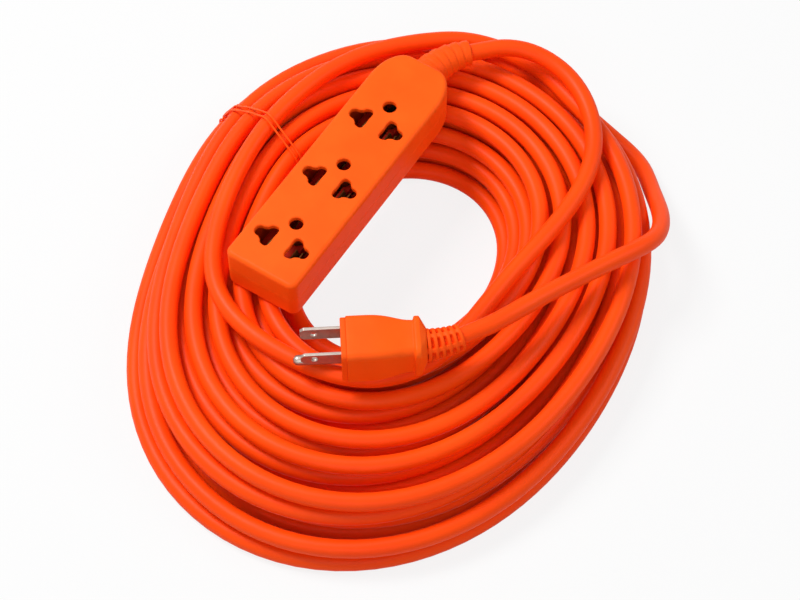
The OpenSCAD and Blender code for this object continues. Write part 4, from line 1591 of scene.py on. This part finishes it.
@dataclass
class Plug:
    """The grounded plug: body, face insert, prongs and relief.

    Its local frame has x forward out of its face and z = 0 on its underside.
    """

    at: Point3
    heading: float = 126
    length: float = 35
    face_w: float = 23
    waist_w: float = 18.6
    collar_w: float = 21.6
    ridge: float = -33.2
    cone_l: float = 4.6
    cone_r: float = 7.9
    rise: float = 2.2
    under: float = 4.2
    over: float = 7
    drop: float = 1.8
    flat_to: float = -6
    taper_from: float = -9
    insert_t: float = 2.4
    inset: float = 0.6
    blade_pitch: float = 12.7
    ground_offset: float = 11.9
    blade_t: float = 1.52
    live_w: float = 6.35
    neutral_w: float = 7.9
    blade_l: float = 17.8
    tip_c: float = 1.6
    hole_d: float = 3.2
    hole_x: float = 11.8
    pin_d: float = 4.78
    pin_l: float = 21.4
    root_l: float = 7.8
    root_r: float = 1.8
    cord_z: float = 11.5

    @property
    def place(self) -> Matrix:
        """Where the plug's own frame stands."""
        return moved(*self.at) @ Matrix.Rotation(math.radians(self.heading), 4, "Z")

    @property
    def height(self) -> float:
        """Height of the body."""
        return self.blade_z + self.over

    @property
    def blade_z(self) -> float:
        """Height of the blades' middle line."""
        return self.under + self.ground_offset

    @property
    def root_x(self) -> float:
        """Where the prongs start inside the body."""
        return -self.insert_t - self.root_l

    @property
    def relief(self) -> Relief:
        """The strain relief behind the plug."""
        return Relief(
            "plug_strain_relief", "plug_relief", 48, 22, 7.7, 6.3, ribs=7, gap=0.42, depth=2.7,
            voxel=0.22,
        )

    def back(self) -> np.ndarray:
        """Return the middle of the plug's back, in the frame of the whole."""
        h = self.heading
        return np.array(self.at) - self.length * vec(cosd(h), sind(h), 0) + vec(0, 0, self.cord_z)

    def cord_end(self) -> tuple[np.ndarray, np.ndarray]:
        """Find where the cord leaves the relief, in the frame of the whole.

        Returns:
            The end of the relief, and the direction out of it.
        """
        r, h = self.relief.bend_r, self.heading
        a = h + 180 + self.relief.bend
        end = self.back() + r * vec(sind(h) + sind(a), -cosd(h) - cosd(a), 0)
        return end, vec(cosd(a), sind(a), 0)

    def section(self, x: float, half: float, low: float, high: float, r: float) -> list[Point3]:
        """Return a rounded section across the plug.

        Args:
            x: its place along the plug.
            half: half its width.
            low: its lowest height.
            high: its highest height.
            r: corner radius.

        Returns:
            Its corners.
        """
        y, top, bottom = half - r, high - r, low + r
        corners = ((y, top, 0), (-y, top, 90), (-y, bottom, 180), (y, bottom, 270))
        return [
            (x, cy + r * cosd(t + 11.25 * i), cz + r * sind(t + 11.25 * i))
            for cy, cz, t in corners
            for i in range(9)
        ]

    def stations(self) -> list[tuple[float, float, float, float, float]]:
        """List the body's sections from its face to its cone.

        Returns:
            The place, half width, low and high edge and corner radius of each.
        """
        c, front, h = self.ridge, -self.insert_t, self.height
        fw, ww, cw = self.face_w / 2, self.waist_w / 2, self.collar_w / 2
        rows = [
            (front, fw - 0.5, 0.5, h - 0.5, 2.6), (front - 0.2, fw - 0.16, 0.16, h - 0.16, 2.9),
            (front - 0.6, fw, 0, h, 3), (self.flat_to, fw, 0, h, 3),
        ]
        x0, x1 = self.taper_from, c + 2.0
        for i in range(13):
            u = i / 12
            down = 1 - (1 + cosd(180 * u**1.5)) / 2
            rows.append(
                (x0 + (x1 - x0) * u, fw - (fw - ww) * down, self.rise * down,
                 h - self.drop * down, 3 + 0.8 * down)
            )
        top, low = h - 0.8, 0.9
        rows += [
            (c + 1.5, ww - 0.1, self.rise + 0.1, h - self.drop, 3.8),
            (c + 1.2, ww, self.rise, h - self.drop + 0.1, 3.8),
            (c + 0.75, cw - 0.3, low + 0.3, top - 0.3, 3.9),
            (c + 0.5, cw - 0.05, low, top - 0.05, 4), (c, cw, low, top, 4),
            (c - 1.4, cw, low, top, 4), (c - 1.75, cw - 0.25, low + 0.2, top - 0.3, 4),
        ]
        mid, cone = self.cord_z, self.cone_r
        end = (c - self.cone_l, cone, mid - cone, mid + cone, 7.7)
        rim = rows[-1]
        rows += [tuple(a + (b - a) * i / 5 for a, b in zip(rim, end)) for i in range(1, 6)]
        return rows

    def body(self) -> Piece:
        """Build the moulded body.

        Returns:
            The body.
        """
        rings = [self.section(*row) for row in self.stations()]
        piece = loft("plug_moulded_body", rings, self.place)
        soften(piece, width=0.4, segments=2, angle=50)
        return dress(piece, Finish.SHELL, "orange_pvc", "plug_body")

    def insert(self) -> Piece:
        """Build the insert that carries the prongs.

        Returns:
            The insert.
        """
        w, h, g = self.face_w / 2 - self.inset, self.height, self.inset
        rows = [
            (0, w - 0.5, g + 0.5, h - g - 0.5, 2.0), (-0.18, w - 0.14, g + 0.14, h - g - 0.14, 2.3),
            (-0.55, w, g, h - g, 2.4), (-self.insert_t - 0.01, w, g, h - g, 2.4),
        ]
        piece = loft("plug_face_insert", [self.section(*row) for row in rows], self.place)
        soften(piece, width=0.2, segments=2, angle=50)
        return dress(piece, Finish.FACE_INSERT, "orange_pvc", "plug_insert")

    def blade(self, node: str, side: int, width: float) -> Piece:
        """Build one blade with a bevelled tip and a detent hole.

        Args:
            node: the node that it stands for.
            side: 1 for the live side, -1 for the neutral side.
            width: width of the blade.

        Returns:
            The blade.
        """
        y, z, t, c = side * self.blade_pitch / 2, self.blade_z, self.blade_t / 2, self.tip_c
        x0, x1, w = self.root_x, self.blade_l, width / 2
        outline = [(x0, -w), (x1 - c, -w), (x1, -w + c), (x1, w - c), (x1 - c, w), (x0, w)]
        rings = [[(px, y + dy, z + pz) for px, pz in outline] for dy in (-t, t)]
        piece = loft("blade_" + node, rings, self.place)
        at = self.place @ (Vector((self.hole_x, y - 2 * t, z)) * MM)
        way = self.place.to_3x3() @ Vector((0, 1, 0))
        Shape.CUT.apply(piece, [cylinder(at / MM, way, self.hole_d / 2, 4 * t)])
        soften(piece, width=0.22, segments=2, angle=35)
        return dress(piece, Finish.NICKEL, "blade_nickel", node)

    def pin(self) -> Piece:
        """Build the ground pin with its domed end.

        Returns:
            The pin.
        """
        r, tip = self.pin_d / 2, 0.04
        profile = [(self.root_x, self.root_r), (0.0, self.root_r), (0.0, r - 0.2), (0.2, r)]
        dome = [(r * sind(6 * i), max(tip, r * cosd(6 * i))) for i in range(16)]
        profile += [(self.pin_l - r + x, q) for x, q in dome]
        rings = [[(x, cy, self.under + cz) for cy, cz in circle(q, 40)] for x, q in profile]
        piece = loft("ground_prong", rings, self.place)
        modify(piece, "WEIGHTED_NORMAL", keep_sharp=True)
        settle(piece)
        return dress(piece, Finish.NICKEL, "blade_nickel", "ground_pin")

    def build(self) -> list[Piece]:
        """Build the whole plug.

        Returns:
            Its pieces.
        """
        turned = Matrix.Rotation(math.radians(self.heading + 180), 4, "Z")
        flip = Matrix.Scale(-1, 4, Vector((0, 1, 0)))
        relief = self.relief.build(moved(*self.back()) @ turned @ flip)
        return [
            self.body(),
            self.insert(),
            self.blade("live_blade", 1, self.live_w),
            self.blade("neutral_blade", -1, self.neutral_w),
            self.pin(),
            relief,
        ]


# ---------------------------------------------------------------- studio


@dataclass
class Studio:
    """A plain pale floor, soft light and the camera.

    White is how much of the floor shows plain white, straight and in or through other
    surfaces. A lamp has its name, its place and side in metres, and its watts.
    """

    target: Point3 = (-36.24, -28.71, 58.5)
    distance: float = 1065.7
    azimuth: float = -57.24
    elevation: float = 58.0
    lens: float = 108.0
    sensor: float = 36.0
    half: float = 3000
    below: float = 0.05
    pale: tuple[Colour, Colour] = ((0.7, 0.7, 0.7), (0.73, 0.73, 0.73))
    clouds: Noise = (9, 3, 0.5)
    white: Point = (0.84, 0.4)
    fill: float = 0.24
    lamps: tuple[tuple[str, Point3, float, float], ...] = (
        ("key", (-0.1, 0.8, 1.35), 0.6, 21.5),
        ("fill", (-1.2, -0.5, 1.1), 1.0, 6.0),
        ("side", (0.75, -1.0, 1.1), 0.7, 6.0),
    )

    def camera(self) -> None:
        """Set the camera."""
        data = bpy.data.cameras.new("view")
        data.lens, data.sensor_width = self.lens, self.sensor
        data.clip_start, data.clip_end = 0.01, 50.0
        eye = put("view", data)
        a, e = self.azimuth, self.elevation
        back = Vector((sind(a) * cosd(e), -cosd(a) * cosd(e), sind(e)))
        eye.location = (Vector(self.target) + back * self.distance) * MM
        eye.rotation_euler = back.to_track_quat("Z", "Y").to_euler()
        bpy.context.scene.camera = eye

    def hang(self, name: str, at: Point3, size: float, power: float) -> None:
        """Hang one square soft lamp that faces the coil.

        Args:
            name: its name.
            at: where it hangs, in metres.
            size: its side, in metres.
            power: its power in watts.
        """
        data = bpy.data.lights.new(name, "AREA")
        data.size, data.energy = size, power
        lamp = put(name, data)
        lamp.location = Vector(at)
        lamp.rotation_euler = Vector(at).to_track_quat("Z", "Y").to_euler()

    def floor(self) -> None:
        """Lay the floor, which keeps the object's shadow and is white beyond it."""
        s = Shader("pale_floor")
        colour = s.mixed(s.noise(s.place(), *self.clouds), *self.pale)
        matt = s.add("ShaderNodeBsdfDiffuse", {"Color": colour})
        glow = s.add("ShaderNodeEmission", [(1, 1, 1, 1), 1.0])
        both = s.add("ShaderNodeMixShader", [s.seen(*self.white), matt, glow])
        s.end("ShaderNodeOutputMaterial", both)
        square = [(x * self.half, y * self.half) for x, y in ((-1, -1), (1, -1), (1, 1), (-1, 1))]
        piece = mesh("studio_floor", raised(square, -self.below), [(0, 1, 2, 3)])
        piece.data.materials.append(s.material)
        piece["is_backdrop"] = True

    def world(self) -> None:
        """Fill the room with even light, and show it white."""
        world = bpy.data.worlds.new("room")
        bpy.context.scene.world = world
        world.use_nodes = True
        t = Tree(world.node_tree)
        dim, white = (
            t.add("ShaderNodeBackground", [(1, 1, 1, 1), level]) for level in (self.fill, 1.0)
        )
        both = t.add("ShaderNodeMixShader", [t.seen(1.0, 1.0), dim, white])
        t.end("ShaderNodeOutputWorld", both)

    def build(self) -> None:
        """Set the floor and the light."""
        self.floor()
        self.world()
        for lamp in self.lamps:
            self.hang(*lamp)
        bpy.context.scene.view_settings.view_transform = "Standard"


# ---------------------------------------------------------------- the whole


def dress_inner(nodes: dict[str, Piece]) -> list[Piece]:
    """Give the pieces inside the block their finishes.

    Args:
        nodes: the solid model's nodes by name.

    Returns:
        Those pieces.
    """
    for name, finish in INNER_FINISHES.items():
        coat(nodes[name], finish)
    return [nodes[name] for name in INNER_FINISHES]


def corners() -> list[list[float]]:
    """Return the whole object's lowest and highest corners as plain lists."""
    return [[float(c) for c in corner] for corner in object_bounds()]


def main() -> None:
    """Build the camera and the cord first, then the rest."""
    logging.basicConfig(level=logging.INFO, format="%(name)s: %(message)s")
    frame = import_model()
    studio = Studio()
    studio.camera()
    route = CordRoute()
    block = OutletBlock(at=(0, 33, route.top + route.seat_gap))
    plug = Plug(at=(-70, -19.5, route.top + route.lay_gap + route.diameter + route.seat_gap))
    cord = Cord(route, *block.cord_exit(), *plug.cord_end())
    jacket = cord.build()
    carried = [Tie(route).build(), *plug.build()]
    cord.declare()
    for piece in (jacket, *carried, *block.build(), *dress_inner(frame["nodes"])):
        LOG.info("%s: %d faces", piece.name, len(piece.data.polygons))
    studio.build()


if __name__ == "__main__":
    main()
